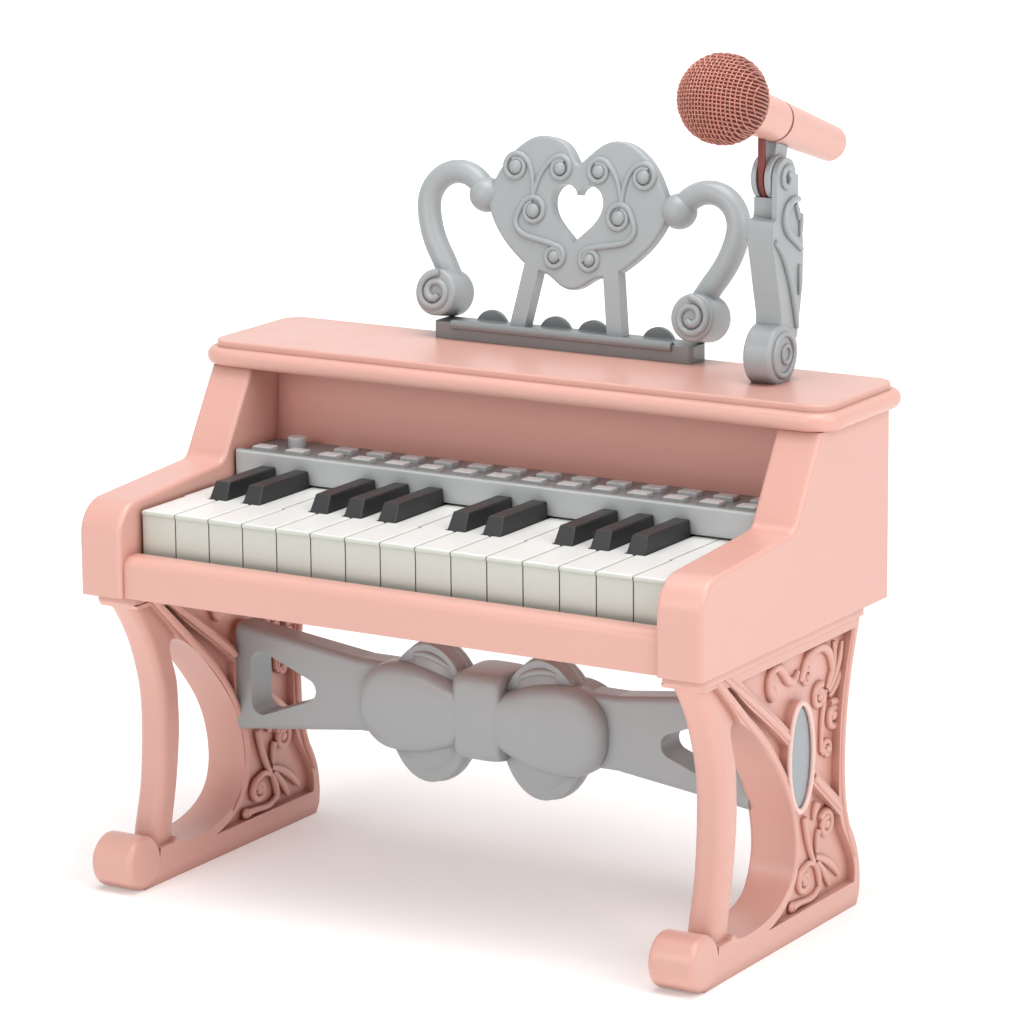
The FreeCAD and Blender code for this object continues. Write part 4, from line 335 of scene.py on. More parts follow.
# Inside: the key frame, the steel rod, boards and rubber contacts, and the leg screws.
# Little of this shows from outside, but each piece has the finish of the real one. The
# pin of the microphone's joint is steel too.
frame_plastic = moulded_plastic("frame_plastic", tint=(0.50, 0.50, 0.49, 1.0), worn=(0.6, 0.6, 0.6, 1.0),
                                roughness=0.5)
board_green = moulded_plastic("board_green", tint=(0.05, 0.16, 0.06, 1.0), worn=(0.35, 0.30, 0.12, 1.0),
                              roughness=0.35)
contact_rubber = moulded_plastic("contact_rubber", tint=(0.36, 0.36, 0.35, 1.0),
                                 worn=(0.42, 0.42, 0.41, 1.0), roughness=0.75, coat=0.0)
STEEL = (0.58, 0.58, 0.59, 1.0)


def brushed_steel(name):
    """Drawn steel: metal with fine streaks along X."""
    steel = bpy.data.materials.new(name)
    steel.use_nodes = True
    tree = steel.node_tree
    shader = tree.nodes["Principled BSDF"]
    place = node(tree, "ShaderNodeTexCoord").outputs["Object"]
    drawn = node(tree, "ShaderNodeMapping", {"Vector": place, "Scale": (0.02, 1.0, 1.0)})
    streaks = node(tree, "ShaderNodeTexNoise", {"Vector": drawn.outputs["Vector"], "Scale": 2600.0})
    rough = node(tree, "ShaderNodeMapRange",
                 {"Value": streaks.outputs["Fac"], "To Min": 0.22, "To Max": 0.42})
    tree.links.new(rough.outputs["Result"], shader.inputs["Roughness"])
    shader.inputs["Base Color"].default_value = STEEL
    shader.inputs["Metallic"].default_value = 1.0
    return steel


steel = brushed_steel("steel")
finish(frame_plastic, "key_frame")
finish(board_green, "key_board", "button_board")
finish(contact_rubber, "key_contact_strip", "button_mat")
finish(steel, "key_pivot_rod", "leg_screws", "mic_pivot_pin")

# Keys: hollow mouldings on one rod. The white ones are satin ivory, their skirt painted a darker
# grey-green as shade, and the black ones are a duller charcoal with a sloped front.
white_key = moulded_plastic("white_key", tint=(0.84, 0.845, 0.825, 1.0), worn=(0.87, 0.87, 0.85, 1.0),
                            roughness=0.35, side_shading_tint=(0.60, 0.62, 0.555, 1.0), drift=0.15, grain=0.02,
                            soft_edge=0.5 * MM, rub=0.25, coat=0.2)
black_key = moulded_plastic("black_key", tint=(0.015, 0.015, 0.017, 1.0), worn=(0.08, 0.08, 0.085, 1.0),
                            roughness=0.42, drift=0.6, rub=0.7, coat=0.04)
finish(white_key, *[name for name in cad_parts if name.startswith("white_key")])
finish(black_key, *[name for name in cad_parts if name.startswith("black_key")])

# Control panel: a grey box behind the keys with a raised lip, two rows of push buttons and a round
# power button. Its deck is painted darker as shade and its front paler as light, and the deck is darker
# than the buttons on it.
panel_grey = moulded_plastic("panel_grey", tint=(0.24, 0.25, 0.255, 1.0), worn=(0.60, 0.60, 0.60, 1.0),
                             roughness=0.40, side_shading_tint=(0.56, 0.575, 0.58, 1.0))
button_grey = moulded_plastic("button_grey", tint=(0.58, 0.59, 0.595, 1.0), worn=(0.74, 0.74, 0.74, 1.0),
                              roughness=0.38, soft_edge=0.4 * MM)
finish(panel_grey, "control_panel")
finish(button_grey, "front_buttons", "back_buttons", "power_button")

# Legs: each is one thick moulding with a lens-shaped opening, a round front foot and a sunk
# web. Scrollwork stands on the web of both faces as half-round strokes.
finish(pink_plastic, "left_leg", "right_leg")
cheek_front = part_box("left_side")[0].y
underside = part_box("base_tray")[0].z
LEAST_CURL_STEPS = 4
SPLINE_ORDER = 4


def curl(middle, radius, start_angle, turns, end_share=0.28, steps_per_turn=10):
    """Points of a spiral from its rim to its eye. Positive turns run anticlockwise."""
    steps = max(LEAST_CURL_STEPS, round(abs(turns) * steps_per_turn))
    points = []
    for step in range(steps + 1):
        share = step / steps
        angle = math.radians(start_angle) + 2 * math.pi * turns * share
        reach = radius * (1 + (end_share - 1) * share)
        points.append((middle[0] + reach * math.cos(angle), middle[1] + reach * math.sin(angle)))
    return points


def stroke_curve(name, strokes, place):
    """Round strokes with swelling width, as one curve object. A stroke is points, which place turns
    into metres, and widths in millimetres."""
    curve = bpy.data.curves.new(name, "CURVE")
    curve.dimensions = "3D"
    curve.bevel_depth = 1.0
    curve.bevel_resolution = 3
    curve.resolution_u = 3
    curve.use_fill_caps = True
    for points, widths in strokes:
        spline = curve.splines.new("NURBS")
        spline.points.add(len(points) - 1)
        for index, (spot, point) in enumerate(zip(spline.points, points)):
            reach = index / (len(points) - 1) * (len(widths) - 1)
            low = min(int(reach), len(widths) - 2)
            width = widths[low] + (widths[low + 1] - widths[low]) * (reach - low)
            spot.co = (*place(*point), 1.0)
            spot.radius = width * MM / 2
        spline.order_u = min(SPLINE_ORDER, len(points))
        spline.use_endpoint_u = True
    holder = bpy.data.objects.new(name, curve)
    scene.collection.objects.link(holder)
    return holder


def as_mesh(holder, name):
    """Replace a curve or a modified object by its plain mesh, at the origin."""
    shown = holder.evaluated_get(bpy.context.evaluated_depsgraph_get())
    mesh = bpy.data.meshes.new_from_object(shown)
    bpy.data.objects.remove(holder)
    mesh.name = name
    made = bpy.data.objects.new(name, mesh)
    scene.collection.objects.link(made)
    return made


def dress(piece, paint, body):
    """Smooth a new piece, give it its finish, and let it ride on a body."""
    piece.data.shade_smooth()
    piece.data.materials.clear()
    piece.data.materials.append(paint)
    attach(piece, body)


def skin_rows(built, rows):
    """Faces between rows of vertices that go round the same way, and a cap at each end."""
    for low, high in zip(rows, rows[1:]):
        count = len(low)
        for index in range(count):
            other = (index + 1) % count
            built.faces.new((low[index], low[other], high[other], high[index]))
    built.faces.new(rows[0])
    built.faces.new(rows[-1])


def add_dome(built, place, middle, radius, rise, rings=5, sides=20):
    """A round boss on a face, closed at its back. place takes two places on the face and a height."""
    turns = [2 * math.pi * side / sides for side in range(sides)]
    rows = []
    for ring in range(rings):
        climb = ring / rings * math.pi / 2
        reach, height = radius * math.cos(climb), rise * math.sin(climb)
        rows.append([built.verts.new(place(middle[0] + reach * math.cos(turn),
                                           middle[1] + reach * math.sin(turn), height))
                     for turn in turns])
    skin_rows(built, rows)


def plain_piece(name, built):
    """A mesh object from a bmesh, with its faces turned outwards."""
    bmesh.ops.recalc_face_normals(built, faces=built.faces)
    mesh = bpy.data.meshes.new(name)
    built.to_mesh(mesh)
    built.free()
    made = bpy.data.objects.new(name, mesh)
    scene.collection.objects.link(made)
    return made


# Places are millimetres back from the cheek fronts and up from the cabinet's underside.
LEG_STROKES = (
    ([(90, -29), (86, -26), (85.5, -18), (91, -14), (98, -14.5), (103, -20), (108, -26), (115, -27),
      (119, -22)], (7.5, 5.6, 5.2, 5.6, 5.8, 5.0, 3.0)),
    ([(121, -28), (125, -22), (128, -17.5), (134, -14.5), (143, -14), (152, -17), (156, -24), (157, -32)],
     (3.4, 5.6, 6.0, 5.6, 3.6)),
    (curl((128, -27.5), 4.6, 60, 1.0, end_share=0.45), (3.4, 3.2, 3.4)),
    ([(151, -39), (157.5, -31), (160, -23), (159, -15)], (3.0, 5.0, 4.6, 2.6)),
    ([(153, -41), (162, -33), (166.5, -25), (168.5, -17)], (3.0, 5.0, 4.6, 2.6)),
    ([(154, -44), (163.5, -39), (168.5, -33), (170, -26)], (3.0, 4.6, 4.2, 2.4)),
    (curl((142, -41), 6.8, 60, 1.25, end_share=0.42), (4.4, 4.0, 4.2)),
    (curl((158.5, -55), 8.6, 120, -1.2, end_share=0.48), (4.6, 4.6, 4.4)),
    ([(149, -39), (146.5, -47), (144.5, -58), (145, -72)], (3.8, 3.4, 3.6, 3.0)),
    (curl((151.5, -72), 5.4, 200, -1.1, end_share=0.45), (3.4, 3.2, 3.6)),
    ([(140, -99), (137, -102.5), (137.5, -107)], (5.6, 4.8, 3.0)),
    (curl((150.5, -112.5), 8.2, 150, -1.25, end_share=0.46), (4.6, 4.2, 4.4)),
    ([(142.5, -114), (139.5, -120), (141, -126)], (4.2, 3.8, 2.8)),
    ([(126, -103), (128, -113), (133, -124), (138, -132)], (4.4, 4.2, 3.8)),
    ([(139, -128), (150, -131), (160, -138), (166, -145)], (3.2, 6.2, 5.8, 3.0)),
    ([(141, -131), (150, -139), (155, -148)], (3.2, 6.0, 3.0)),
    ([(139, -132), (144.5, -140), (144, -148)], (3.2, 5.4, 3.0)),
    ([(137, -131), (131, -128.5)] + curl((126, -138), 7.2, 75, 1.25, end_share=0.42), (3.4, 4.4, 4.0, 4.2)),
    ([(143, -146), (139, -150), (130, -150), (119, -148), (112, -149)], (3.0, 4.2, 4.4, 4.0, 6.0)),
)
# Half-round beads along the brace, the lens and the rear edge, at the level of the leg's face.
LEG_BEADS = (
    ([(32.6, -5), (64, -26.4), (84, -39.5), (101, -53)], (4.0, 5.0, 5.2, 4.6)),
    ([(130, -81), (142, -90.5), (152, -98.5), (161.5, -106.5)], (4.6, 5.2, 5.0, 3.6)),
    ([(25.1, -5), (42, -20), (53, -30), (63, -38.8), (76.9, -51), (91.3, -66.7), (101.9, -81.7),
      (108.6, -97.2), (111.3, -112), (110.6, -124), (105, -135.3), (96.5, -142)],
     (4.0, 5.2, 4.4, 3.8, 3.8, 3.8, 3.6, 0.8)),
    ([(178, -137), (164.7, -113), (162, -90), (162.7, -65), (166.2, -42), (171.9, -23.4), (175, -12)],
     (3.6, 4.2, 4.2, 4.2, 3.8)),
)
# Round eyes of the curls: back, up and radius.
LEG_EYES = ((89.8, -27.5, 4.2), (128, -27.5, 2.2), (142, -41, 2.8), (158.5, -55, 3.4), (151.5, -72, 2.4),
            (150.5, -112.5, 3.4), (126, -138, 3.0), (112.5, -148.8, 3.4))
# How deep the web lies, and how far the middle of the strokes stands off it.
WEB_DEPTH = 5.0 * MM
WEB_LIFT = 0.7 * MM
# Millimetres above the middle of the strokes: the middle of the beads and the top of the eyes.
BEAD_RISE = 3.5
EYE_RISE = 2.6
# The flange at the leg's head stands this far out from its outer face.
FLANGE_MARGIN = 1.5 * MM
leg_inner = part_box("right_leg")[0].x
leg_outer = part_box("right_leg")[1].x - FLANGE_MARGIN


def carve_leg(face, face_x, outward):
    """Strokes, beads and eyes on one face of a leg. outward is the face's way along X."""
    def place(y, z, rise=0.0):
        sunk = WEB_DEPTH - WEB_LIFT - rise * MM
        return (face_x - outward * sunk, cheek_front + y * MM, underside + z * MM)

    lines = stroke_curve(face + "_scroll_line", LEG_STROKES, place)
    dress(as_mesh(lines, face + "_scrolls"), pink_plastic, "cabinet")
    lines = stroke_curve(face + "_bead_line", LEG_BEADS, lambda y, z: place(y, z, BEAD_RISE))
    dress(as_mesh(lines, face + "_beads"), pink_plastic, "cabinet")
    built = bmesh.new()
    for y, z, radius in LEG_EYES:
        add_dome(built, place, (y, z), radius, EYE_RISE)
    dress(plain_piece(face + "_eyes", built), pink_plastic, "cabinet")


for leg, side in (("right_leg", 1), ("left_leg", -1)):
    carve_leg(leg + "_outer", side * leg_outer, side)
    carve_leg(leg + "_inner", side * leg_inner, -side)

# Medallions: glossy blue-grey ovals pressed into the outer face of each leg. A half-round
# rim in a paler pink stands round each oval and throws its edge into shade.
medallion_gloss = moulded_plastic("medallion_gloss", tint=(0.30, 0.335, 0.355, 1.0),
                                  worn=(0.52, 0.56, 0.58, 1.0), roughness=0.19,
                                  drift=0.9, grain=0.04, coat=0.5)
finish(medallion_gloss, "medallions")
rim_pink = moulded_plastic("rim_pink", tint=PALE_PINK, worn=(0.90, 0.70, 0.65, 1.0), roughness=0.38,
                           coat=0.45, crease_shade=0.3)
RIM_WIDTH = 3.2
# The middle of the rim runs this far outside the edge of the oval.
RIM_MARGIN = 1.35 * MM
RIM_STEPS = 48
# Points that the ring runs on past its start, so that it closes.
RIM_OVERLAP = 3


def ring_medallions():
    """An oval ring round each medallion, on the face of the leg."""
    low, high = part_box("medallions")
    middle_y, middle_z = (low.y + high.y) / 2, (low.z + high.z) / 2
    half_y, half_z = (high.y - low.y) / 2 + RIM_MARGIN, (high.z - low.z) / 2 + RIM_MARGIN
    turns = [2 * math.pi * step / RIM_STEPS for step in range(RIM_STEPS + RIM_OVERLAP)]
    oval = [(middle_y + half_y * math.cos(turn), middle_z + half_z * math.sin(turn)) for turn in turns]
    rings = [([(side * leg_outer, y, z) for y, z in oval], (RIM_WIDTH, RIM_WIDTH)) for side in (1, -1)]
    lines = stroke_curve("medallion_rim_line", rings, lambda x, y, z: (x, y, z))
    dress(as_mesh(lines, "medallion_rims"), rim_pink, "cabinet")


ring_medallions()

# Bow brace: a grey ribbon bow moulded in one piece between the legs. Its front loops are
# puffed cushions, folded ribbon shows above and below them, and a band makes the knot.
grey_plastic = moulded_plastic("grey_plastic", tint=(0.375, 0.402, 0.412, 1.0),
                               worn=(0.55, 0.56, 0.56, 1.0), roughness=0.38, coat=0.2)
finish(grey_plastic, "bow_brace")
CUSHION_RINGS = 14
# Shares of the way from a cushion's middle to its rim, closer together near the rim.
CUSHION_SHARES = [math.sin(ring / CUSHION_RINGS * math.pi / 2) for ring in range(1, CUSHION_RINGS + 1)]
BOW_FRONT = 103.0
PUFF_MIDDLE = -68.0
# Right-hand puff outline: across from the knot's middle, and up from the puff's middle.
PUFF_OUTLINE = ((6, 12.5), (20, 18.5), (38, 24.0), (61, 23.8), (74, 14.0), (77, 0),
                (74, -14.0), (61, -23.8), (38, -24.0), (20, -18.5), (6, -12.5), (5, 0))
PUFF_CENTRE = 44.0
PUFF_RIM_STEP = 8.6
PUFF_RIM_SHARPNESS = 11
PUFF_CROWN = 2.2
PUFF_BACK = 110.0
LOBE_MIDDLE = (36.0, -70.5)
LOBE_HALF = (27.2, 40.0)
LOBE_SIDES = 72
LOBE_RIM = 111.0
LOBE_RIM_STEP = 9.0
LOBE_RIM_SHARPNESS = 4
LOBE_CROWN = 4.0
LOBE_BACK = 114.0
FOLD_STROKE = ([(16, -48), (22, -43), (30, -38.8), (38, -37.2), (46, -38.6), (53, -42.5)],
               (1.6, 3.6, 4.4, 4.4, 3.6, 1.6))
KNOT_HALF_WIDTH = 14.4
KNOT_HALF_DEPTH = 18.8
KNOT_HALF_HEIGHT = 23.2
KNOT_MIDDLE = (113.0, -66.5)
KNOT_CORNER = 7.2
KNOT_CORNER_SIDES = ((1, 1), (-1, 1), (-1, -1), (1, -1))
KNOT_CORNER_STEPS = 6
KNOT_STEPS = 12
KNOT_BULGE = 1.1
KNOT_BULGE_SHARPNESS = 4


def at_bow(x, y, z):
    """Metres from millimetres across, back from the cheek fronts and up from the underside."""
    return Vector((x * MM, cheek_front + y * MM, underside + z * MM))


def smooth_loop(points, steps=6):
    """A closed Catmull-Rom line through points."""
    count = len(points)
    loop = []
    for index in range(count):
        before, start, end, after = [Vector(points[(index + shift) % count]) for shift in (-1, 0, 1, 2)]
        for step in range(steps):
            share = step / steps
            loop.append(0.5 * (2 * start + (end - before) * share
                               + (2 * before - 5 * start + 4 * end - after) * share ** 2
                               + (3 * start - before - 3 * end + after) * share ** 3))
    return loop


def add_puff(built, side):
    """A crowned cushion with a rounded rim, closed at its back."""
    outline = smooth_loop(PUFF_OUTLINE)

    def row(share, y):
        return [built.verts.new(at_bow(side * (PUFF_CENTRE + (point.x - PUFF_CENTRE) * share), y,
                                       PUFF_MIDDLE + point.y * share)) for point in outline]

    rows = []
    for share in CUSHION_SHARES:
        rim_rise = PUFF_RIM_STEP * math.sqrt(max(0.0, 1 - share ** PUFF_RIM_SHARPNESS))
        rows.append(row(share, BOW_FRONT - (rim_rise + PUFF_CROWN * (1 - share ** 2))))
    rows.append(row(1.0, PUFF_BACK))
    skin_rows(built, rows)


def lobe_front(share):
    """How far back the lobe's face lies, at a share of the way from its middle to its rim."""
    share = min(share, 1.0)
    rim_rise = LOBE_RIM_STEP * math.sqrt(1 - share ** LOBE_RIM_SHARPNESS)
    return LOBE_RIM - rim_rise - LOBE_CROWN * (1 - share ** 2)


def add_lobe(built, side):
    """The full ribbon loop behind a puff: an oval cushion."""
    turns = [2 * math.pi * step / LOBE_SIDES for step in range(LOBE_SIDES)]

    def row(share, y):
        return [built.verts.new(at_bow(side * (LOBE_MIDDLE[0] + LOBE_HALF[0] * share * math.cos(turn)), y,
                                       LOBE_MIDDLE[1] + LOBE_HALF[1] * share * math.sin(turn)))
                for turn in turns]

    skin_rows(built, [row(share, lobe_front(share)) for share in CUSHION_SHARES] + [row(1.0, LOBE_BACK)])


def on_lobe(x, z):
    """A place on the face of the lobe on either side."""
    share = math.hypot((abs(x) - LOBE_MIDDLE[0]) / LOBE_HALF[0], (z - LOBE_MIDDLE[1]) / LOBE_HALF[1])
    return at_bow(x, lobe_front(share), z)


def add_knot(built):
    """A band of rounded section that swells a little at its middle."""
    rows = []
    for step in range(KNOT_STEPS + 1):
        across = -1 + 2 * step / KNOT_STEPS
        swell = KNOT_BULGE * (1 - across ** KNOT_BULGE_SHARPNESS)
        half_depth = KNOT_HALF_DEPTH + swell
        half_height = KNOT_HALF_HEIGHT + swell
        row = []
        for corner, (side_y, side_z) in enumerate(KNOT_CORNER_SIDES):
            corner_y = (half_depth - KNOT_CORNER) * side_y
            corner_z = (half_height - KNOT_CORNER) * side_z
            for part in range(KNOT_CORNER_STEPS + 1):
                angle = math.radians(90 * corner + 90 * part / KNOT_CORNER_STEPS)
                row.append(built.verts.new(at_bow(
                    across * KNOT_HALF_WIDTH,
                    KNOT_MIDDLE[0] + corner_y + KNOT_CORNER * math.cos(angle),
                    KNOT_MIDDLE[1] + corner_z + KNOT_CORNER * math.sin(angle))))
        rows.append(row)
    skin_rows(built, rows)


def both_sides(strokes):
    """Each stroke and its mirror image across the middle."""
    return [([(side * across, up) for across, up in points], widths)
            for points, widths in strokes for side in (1, -1)]


def tie_bow():
    """The cushions and the knot as one piece, and the folds on the lobes as another."""
    built = bmesh.new()
    for side in (1, -1):
        add_puff(built, side)
        add_lobe(built, side)
    add_knot(built)
    dress(plain_piece("bow_cushions", built), grey_plastic, "cabinet")
    lines = stroke_curve("bow_fold_line", both_sides([FOLD_STROKE]), on_lobe)
    dress(as_mesh(lines, "bow_folds"), grey_plastic, "cabinet")


tie_bow()

# Music rest: a heart-shaped plate on two struts with scrolled arms, leaning back on a ledge
# with a scalloped crest. Low relief scrolls stand on the plate and on the volutes' faces.
# The ledge is a darker grey than the plate, painted darker still as the shade on its front.
ledge_shaded_grey = moulded_plastic("ledge_shaded_grey", tint=(0.235, 0.25, 0.255, 1.0), worn=(0.40, 0.41, 0.41, 1.0),
                             roughness=0.38, coat=0.2)
finish(grey_plastic, "rest_plate")
finish(ledge_shaded_grey, "rest_ledge")
lid_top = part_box("lid")[1].z
REST_MIDDLE = -4.0
REST_FRONT = 196.0
REST_LEAN = math.radians(10.5)
RELIEF_SINK = 0.2
# The volute's middle, across and up, and the depth of its face, which stands in front of the plate's.
VOLUTE = (81.0, 24.5)
VOLUTE_FACE = -7.6


def at_rest(across, up, depth):
    """A place on the rest: across from its middle, up its front face, and behind that face."""
    back = REST_FRONT + up * math.sin(REST_LEAN) + depth * math.cos(REST_LEAN)
    rise = up * math.cos(REST_LEAN) - depth * math.sin(REST_LEAN)
    return Vector(((REST_MIDDLE + across) * MM, cheek_front + back * MM, lid_top + rise * MM))


SCROLL_WIDTHS = (3.0, 3.4, 3.4, 3.4, 3.2, 2.8)
REST_STROKES = (
    ([(28, 81), (28.2, 90), (30.5, 98.5)] + curl((40.3, 97.2), 8.0, 130, -1.2, end_share=0.6),
     SCROLL_WIDTHS),
    ([(28, 81), (26.5, 90), (22.5, 98)] + curl((12.2, 98.2), 7.4, 50, 1.2, end_share=0.6), SCROLL_WIDTHS),
    (curl((11.2, 50), 6.8, 125, 1.2, end_share=0.6)[::-1]
     + [(15.5, 57.4), (24, 58.8), (33.5, 60.5), (39, 66.5)]
     + curl((27, 74), 8.4, 5, 1.2, end_share=0.6), (2.8, 3.4, 3.4, 3.6, 3.6, 3.4, 3.4, 2.8)),
)
# Round eyes of the scrolls: across, up and radius.
REST_EYES = ((40.3, 97.2, 4.2), (12.2, 98.2, 3.9), (11.2, 50, 3.6), (27, 74, 4.3))
REST_EYE_RISE = 2.4
VOLUTE_STROKES = ((curl(VOLUTE, 11.3, 100, -1.7, end_share=0.26), (4.2, 4.4, 4.2, 3.8, 5.2, 4.4)),)


def carve_rest():
    """Scrolls on the plate, spirals on the volutes, and the eyes of the plate's scrolls."""
    for name, strokes, depth in (("rest_scroll", REST_STROKES, RELIEF_SINK),
                                 ("volute_scroll", VOLUTE_STROKES, VOLUTE_FACE + RELIEF_SINK)):
        lines = stroke_curve(name + "_line", both_sides(strokes), lambda u, v: at_rest(u, v, depth))
        dress(as_mesh(lines, name + "s"), grey_plastic, "cabinet")
    built = bmesh.new()
    for side in (1, -1):
        for across, up, radius in REST_EYES:
            add_dome(built, lambda u, v, rise: at_rest(u, v, -rise), (side * across, up), radius,
                     REST_EYE_RISE)
    dress(plain_piece("rest_eyes", built), grey_plastic, "cabinet")


carve_rest()

# Microphone arm: a scrolled bracket fixed to the lid. Its sides carry a rib, a C-scroll and
# leaf strokes. Two rings stand on the disc of its foot, and a spiral on the ear at its top.
finish(grey_plastic, "mic_arm", "mic_cradle")
# Places are millimetres back from the cheek fronts and up from the lid.
ARM_SIDE_STROKES = (
    ([(165, 76), (172, 70.5), (178, 60.5), (182.5, 51), (186.5, 38.5), (189, 27)],
     (3.0, 4.6, 4.8, 4.4, 3.2)),
    ([(191, 95), (187, 96), (182, 95), (176.5, 92), (174, 85.5), (177.5, 78.5), (186, 74), (194, 68)],
     (3.0, 4.6, 5.0, 4.6, 3.0)),
    ([(187, 93), (190, 89), (191, 84)], (2.2, 4.4, 2.0)),
    ([(194, 87), (192.6, 81), (192.6, 75)], (2.2, 4.4, 2.0)),
    ([(192, 60), (192.6, 52), (192, 44)], (2.2, 4.6, 2.0)),
)
ARM_FOOT_STROKES = (
    (curl((174.5, 14.5), 11.4, 0, 1.0, end_share=1.0, steps_per_turn=16), (3.2, 3.2)),
    (curl((177.0, 14.5), 4.6, 0, 1.0, end_share=1.0, steps_per_turn=16), (2.8, 2.8)),
)
EAR_STROKES = ((curl((178, 107.4), 6.8, 60, 1.15), (3.4, 3.4, 3.8)),)
# The middles of the side and ear strokes lie this far in from the face of the foot's disc.
STROKE_INSET = 0.2 * MM


def carve_arm():
    """Strokes on the arm's sides, its foot and its ear."""
    left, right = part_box("mic_arm")[0].x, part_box("mic_arm")[1].x
    for name, strokes, x in (
            ("arm_right_scrolls", ARM_SIDE_STROKES, right - STROKE_INSET),
            ("arm_left_scrolls", ARM_SIDE_STROKES, left + STROKE_INSET),
            ("arm_foot_ring", ARM_FOOT_STROKES, right),
            ("arm_ear_scroll", EAR_STROKES, right - STROKE_INSET)):
        lines = stroke_curve(name + "_line", strokes,
                             lambda y, z: (x, cheek_front + y * MM, lid_top + z * MM))
        dress(as_mesh(lines, name), grey_plastic, "cabinet")


carve_arm()

# Microphone: a pink two-part handle with a seam ring, and a ball of woven wire, painted
# rose, pressed over a dark liner. A short lead drops from the handle into the cradle.
rose_liner = moulded_plastic("rose_liner", tint=(0.10, 0.024, 0.018, 1.0), worn=(0.14, 0.04, 0.03, 1.0),
                             roughness=0.8, grain_scale=700.0, grain=0.5, coat=0.0)
lead_rubber = moulded_plastic("lead_rubber", tint=(0.19, 0.035, 0.030, 1.0), worn=(0.3, 0.08, 0.07, 1.0),
                              roughness=0.5, coat=0.0)
capsule_metal = brushed_steel("capsule_metal")
finish(pink_plastic, "mic_handle")
finish(rose_liner, "mic_grille")
finish(lead_rubber, "mic_lead")
finish(capsule_metal, "mic_capsule")
ROSE = (0.44, 0.155, 0.115, 1.0)
PALE_ROSE = (0.64, 0.29, 0.225, 1.0)


def painted_wire(name):
    """Rose paint over wire: paler and duller where the weave rubs."""
    paint = bpy.data.materials.new(name)
    paint.use_nodes = True
    tree = paint.node_tree
    shader = tree.nodes["Principled BSDF"]
    place = node(tree, "ShaderNodeTexCoord").outputs["Object"]
    patches = node(tree, "ShaderNodeTexNoise", {"Vector": place, "Scale": 220.0, "Detail": 3.0})
    colour = mixed_colour(tree, patches.outputs["Fac"], ROSE, PALE_ROSE)
    rough = node(tree, "ShaderNodeMapRange",
                 {"Value": patches.outputs["Fac"], "To Min": 0.28, "To Max": 0.45})
    tree.links.new(colour, shader.inputs["Base Color"])
    tree.links.new(rough.outputs["Result"], shader.inputs["Roughness"])
    shader.inputs["Metallic"].default_value = 0.35
    return paint


MIC_TILT = math.radians(17.9)
WIRES_EACH_WAY = 23
# Half a pitch is spare, so that the outermost rings keep some radius.
SPARE_PITCHES = 0.5
RING_POINTS = 240
WIRE_SIDES = 5
WIRE_RADIUS = 0.45 * MM
WEAVE_LIFT = 0.30 * MM
NECK_RADIUS = 12.2 * MM


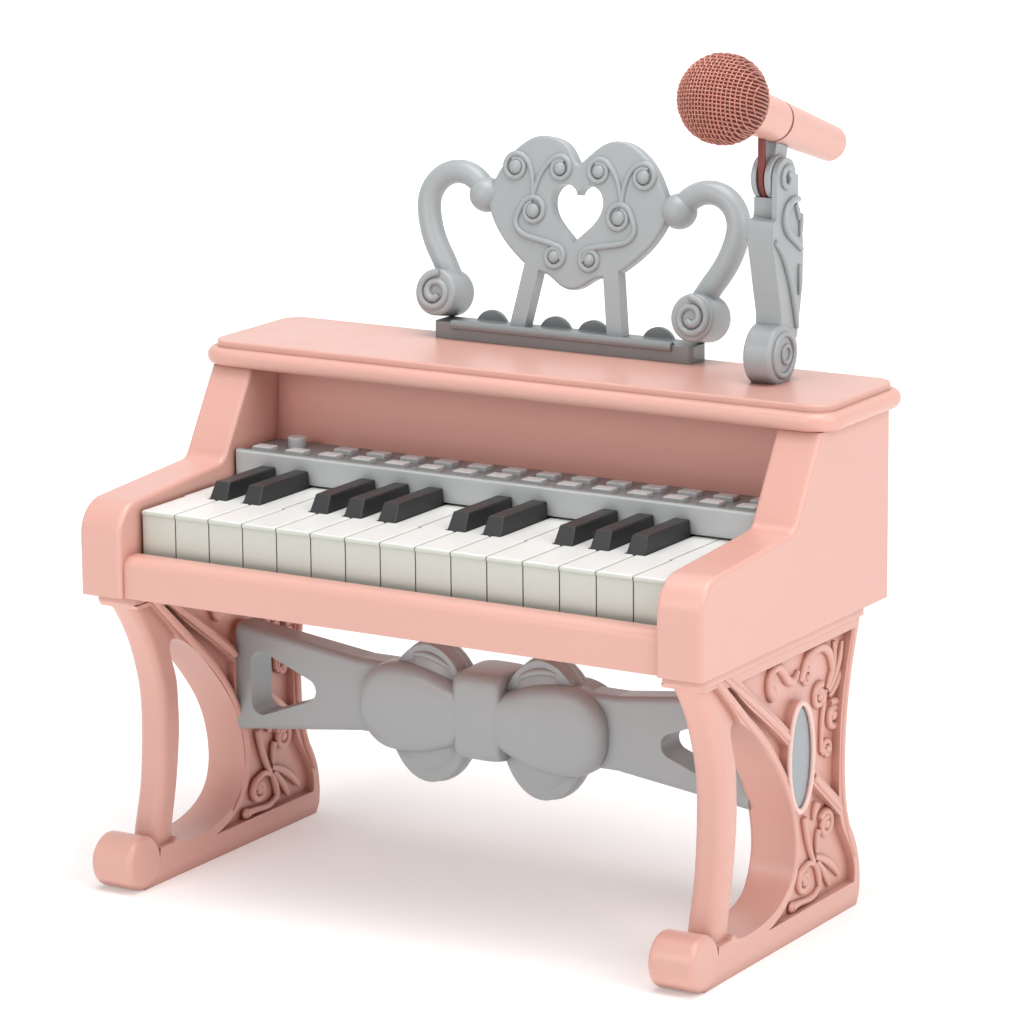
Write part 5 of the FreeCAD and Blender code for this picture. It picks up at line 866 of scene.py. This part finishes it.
def weave_tree():
    """Two families of wire rings, square to each other, that pass over and under."""
    tree = bpy.data.node_groups.new("grille_weave", "GeometryNodeTree")
    sockets = (
        ("Ball Radius", "NodeSocketFloat"), ("Wires Each Way", "NodeSocketInt"),
        ("Pitch", "NodeSocketFloat"), ("Wire Radius", "NodeSocketFloat"),
        ("Weave Lift", "NodeSocketFloat"), ("Neck Plane", "NodeSocketFloat"),
        ("Place", "NodeSocketVector"), ("Tilt", "NodeSocketRotation"), ("Wire", "NodeSocketMaterial"))
    for label, kind in sockets:
        tree.interface.new_socket(label, in_out="INPUT", socket_type=kind)
    tree.interface.new_socket("Geometry", in_out="OUTPUT", socket_type="NodeSocketGeometry")
    given = node(tree, "NodeGroupInput").outputs
    result = node(tree, "NodeGroupOutput")

    def maths(operation, *values):
        return node(tree, "ShaderNodeMath", dict(enumerate(values)), operation=operation).outputs[0]

    number = node(tree, "GeometryNodeInputIndex").outputs[0]
    middle = maths("DIVIDE", maths("SUBTRACT", given["Wires Each Way"], 1.0), 2.0)
    offset = maths("MULTIPLY", maths("SUBTRACT", number, middle), given["Pitch"])
    ball_square = maths("MULTIPLY", given["Ball Radius"], given["Ball Radius"])
    ring_radius = maths("SQRT", maths("SUBTRACT", ball_square, maths("MULTIPLY", offset, offset)))
    ring = node(tree, "GeometryNodeCurvePrimitiveCircle", {"Resolution": RING_POINTS, "Radius": 1.0})
    spot = node(tree, "GeometryNodeInputPosition").outputs[0]
    parts = node(tree, "ShaderNodeSeparateXYZ", {"Vector": spot}).outputs
    phase = maths("DIVIDE", math.pi, given["Pitch"])
    wave = maths("MULTIPLY", maths("COSINE", maths("MULTIPLY", parts["X"], phase)),
                 maths("COSINE", maths("MULTIPLY", parts["Z"], phase)))
    outward = node(tree, "ShaderNodeVectorMath", {0: spot}, operation="NORMALIZE").outputs[0]
    families = []
    for axis, turn, way in (("X", (0.0, math.pi / 2, 0.0), 1.0), ("Z", (0.0, 0.0, 0.0), -1.0)):
        spread = node(tree, "ShaderNodeCombineXYZ", {axis: offset})
        points = node(tree, "GeometryNodePoints",
                      {"Count": given["Wires Each Way"], "Position": spread.outputs[0]})
        rings = node(tree, "GeometryNodeInstanceOnPoints",
                     {"Points": points.outputs[0], "Instance": ring.outputs[0], "Rotation": turn,
                      "Scale": ring_radius})
        wires = node(tree, "GeometryNodeRealizeInstances", {"Geometry": rings.outputs[0]})
        lift = maths("MULTIPLY", maths("MULTIPLY", wave, given["Weave Lift"]), way)
        shift = node(tree, "ShaderNodeVectorMath", {0: outward, "Scale": lift}, operation="SCALE")
        woven = node(tree, "GeometryNodeSetPosition",
                     {"Geometry": wires.outputs[0], "Offset": shift.outputs[0]})
        families.append(woven.outputs[0])
    both = node(tree, "GeometryNodeJoinGeometry")
    for family in families:
        tree.links.new(family, both.inputs[0])
    profile = node(tree, "GeometryNodeCurvePrimitiveCircle",
                   {"Resolution": WIRE_SIDES, "Radius": given["Wire Radius"]})
    tubes = node(tree, "GeometryNodeCurveToMesh",
                 {"Curve": both.outputs[0], "Profile Curve": profile.outputs[0]})
    inside = node(tree, "FunctionNodeCompare", {0: parts["Y"], 1: given["Neck Plane"]},
                  operation="GREATER_THAN")
    open_ball = node(tree, "GeometryNodeDeleteGeometry",
                     {"Geometry": tubes.outputs[0], "Selection": inside.outputs[0]})
    seated = node(tree, "GeometryNodeTransform",
                  {"Geometry": open_ball.outputs[0], "Translation": given["Place"],
                   "Rotation": given["Tilt"]})
    plain = node(tree, "GeometryNodeRealizeInstances", {"Geometry": seated.outputs[0]})
    painted = node(tree, "GeometryNodeSetMaterial",
                   {"Geometry": plain.outputs[0], "Material": given["Wire"]})
    tree.links.new(painted.outputs[0], result.inputs["Geometry"])
    return tree


def weave_grille():
    """The woven ball as a piece of its own. The result is the ball's middle."""
    low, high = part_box("mic_grille")
    radius = (high.x - low.x) / 2
    middle = Vector(((low.x + high.x) / 2, low.y + radius, high.z - radius))
    wire = painted_wire("rose_wire")
    holder = bpy.data.objects.new("grille_weave", bpy.data.meshes.new("grille_weave"))
    scene.collection.objects.link(holder)
    modifier = holder.modifiers.new("weave", "NODES")
    modifier.node_group = weave_tree()
    values = {
        "Ball Radius": radius, "Wires Each Way": WIRES_EACH_WAY,
        "Pitch": 2 * radius / (WIRES_EACH_WAY + SPARE_PITCHES),
        "Wire Radius": WIRE_RADIUS, "Weave Lift": WEAVE_LIFT,
        "Neck Plane": math.sqrt(radius ** 2 - NECK_RADIUS ** 2),
        "Place": middle, "Tilt": (-MIC_TILT, 0.0, 0.0), "Wire": wire}
    for socket in modifier.node_group.interface.items_tree:
        if socket.in_out == "INPUT":
            modifier[socket.identifier] = values[socket.name]
    piece = as_mesh(holder, "mic_grille_wires")
    dress(piece, wire, "microphone")
    return middle


SEAM_DISTANCE = 58.0 * MM
SEAM_RADIUS = 10.75 * MM
SEAM_WIDTH = 1.3
# The seam runs on a little past its start, so that it closes.
SEAM_TURNS = 1.05
SEAM_STEPS = 40


def lay_seam(ball_middle):
    """A thin dark ring round the handle, where its collar meets the grip."""
    axis = Vector((0.0, math.cos(MIC_TILT), -math.sin(MIC_TILT)))
    across = Vector((1.0, 0.0, 0.0))
    upward = axis.cross(across)
    centre = ball_middle + axis * SEAM_DISTANCE
    ring = curl((0.0, 0.0), SEAM_RADIUS, 0, SEAM_TURNS, end_share=1.0, steps_per_turn=SEAM_STEPS)
    line = stroke_curve("seam_line", ((ring, (SEAM_WIDTH, SEAM_WIDTH)),),
                        lambda u, v: centre + across * u + upward * v)
    dress(as_mesh(line, "mic_seam"), lead_rubber, "microphone")


lay_seam(weave_grille())
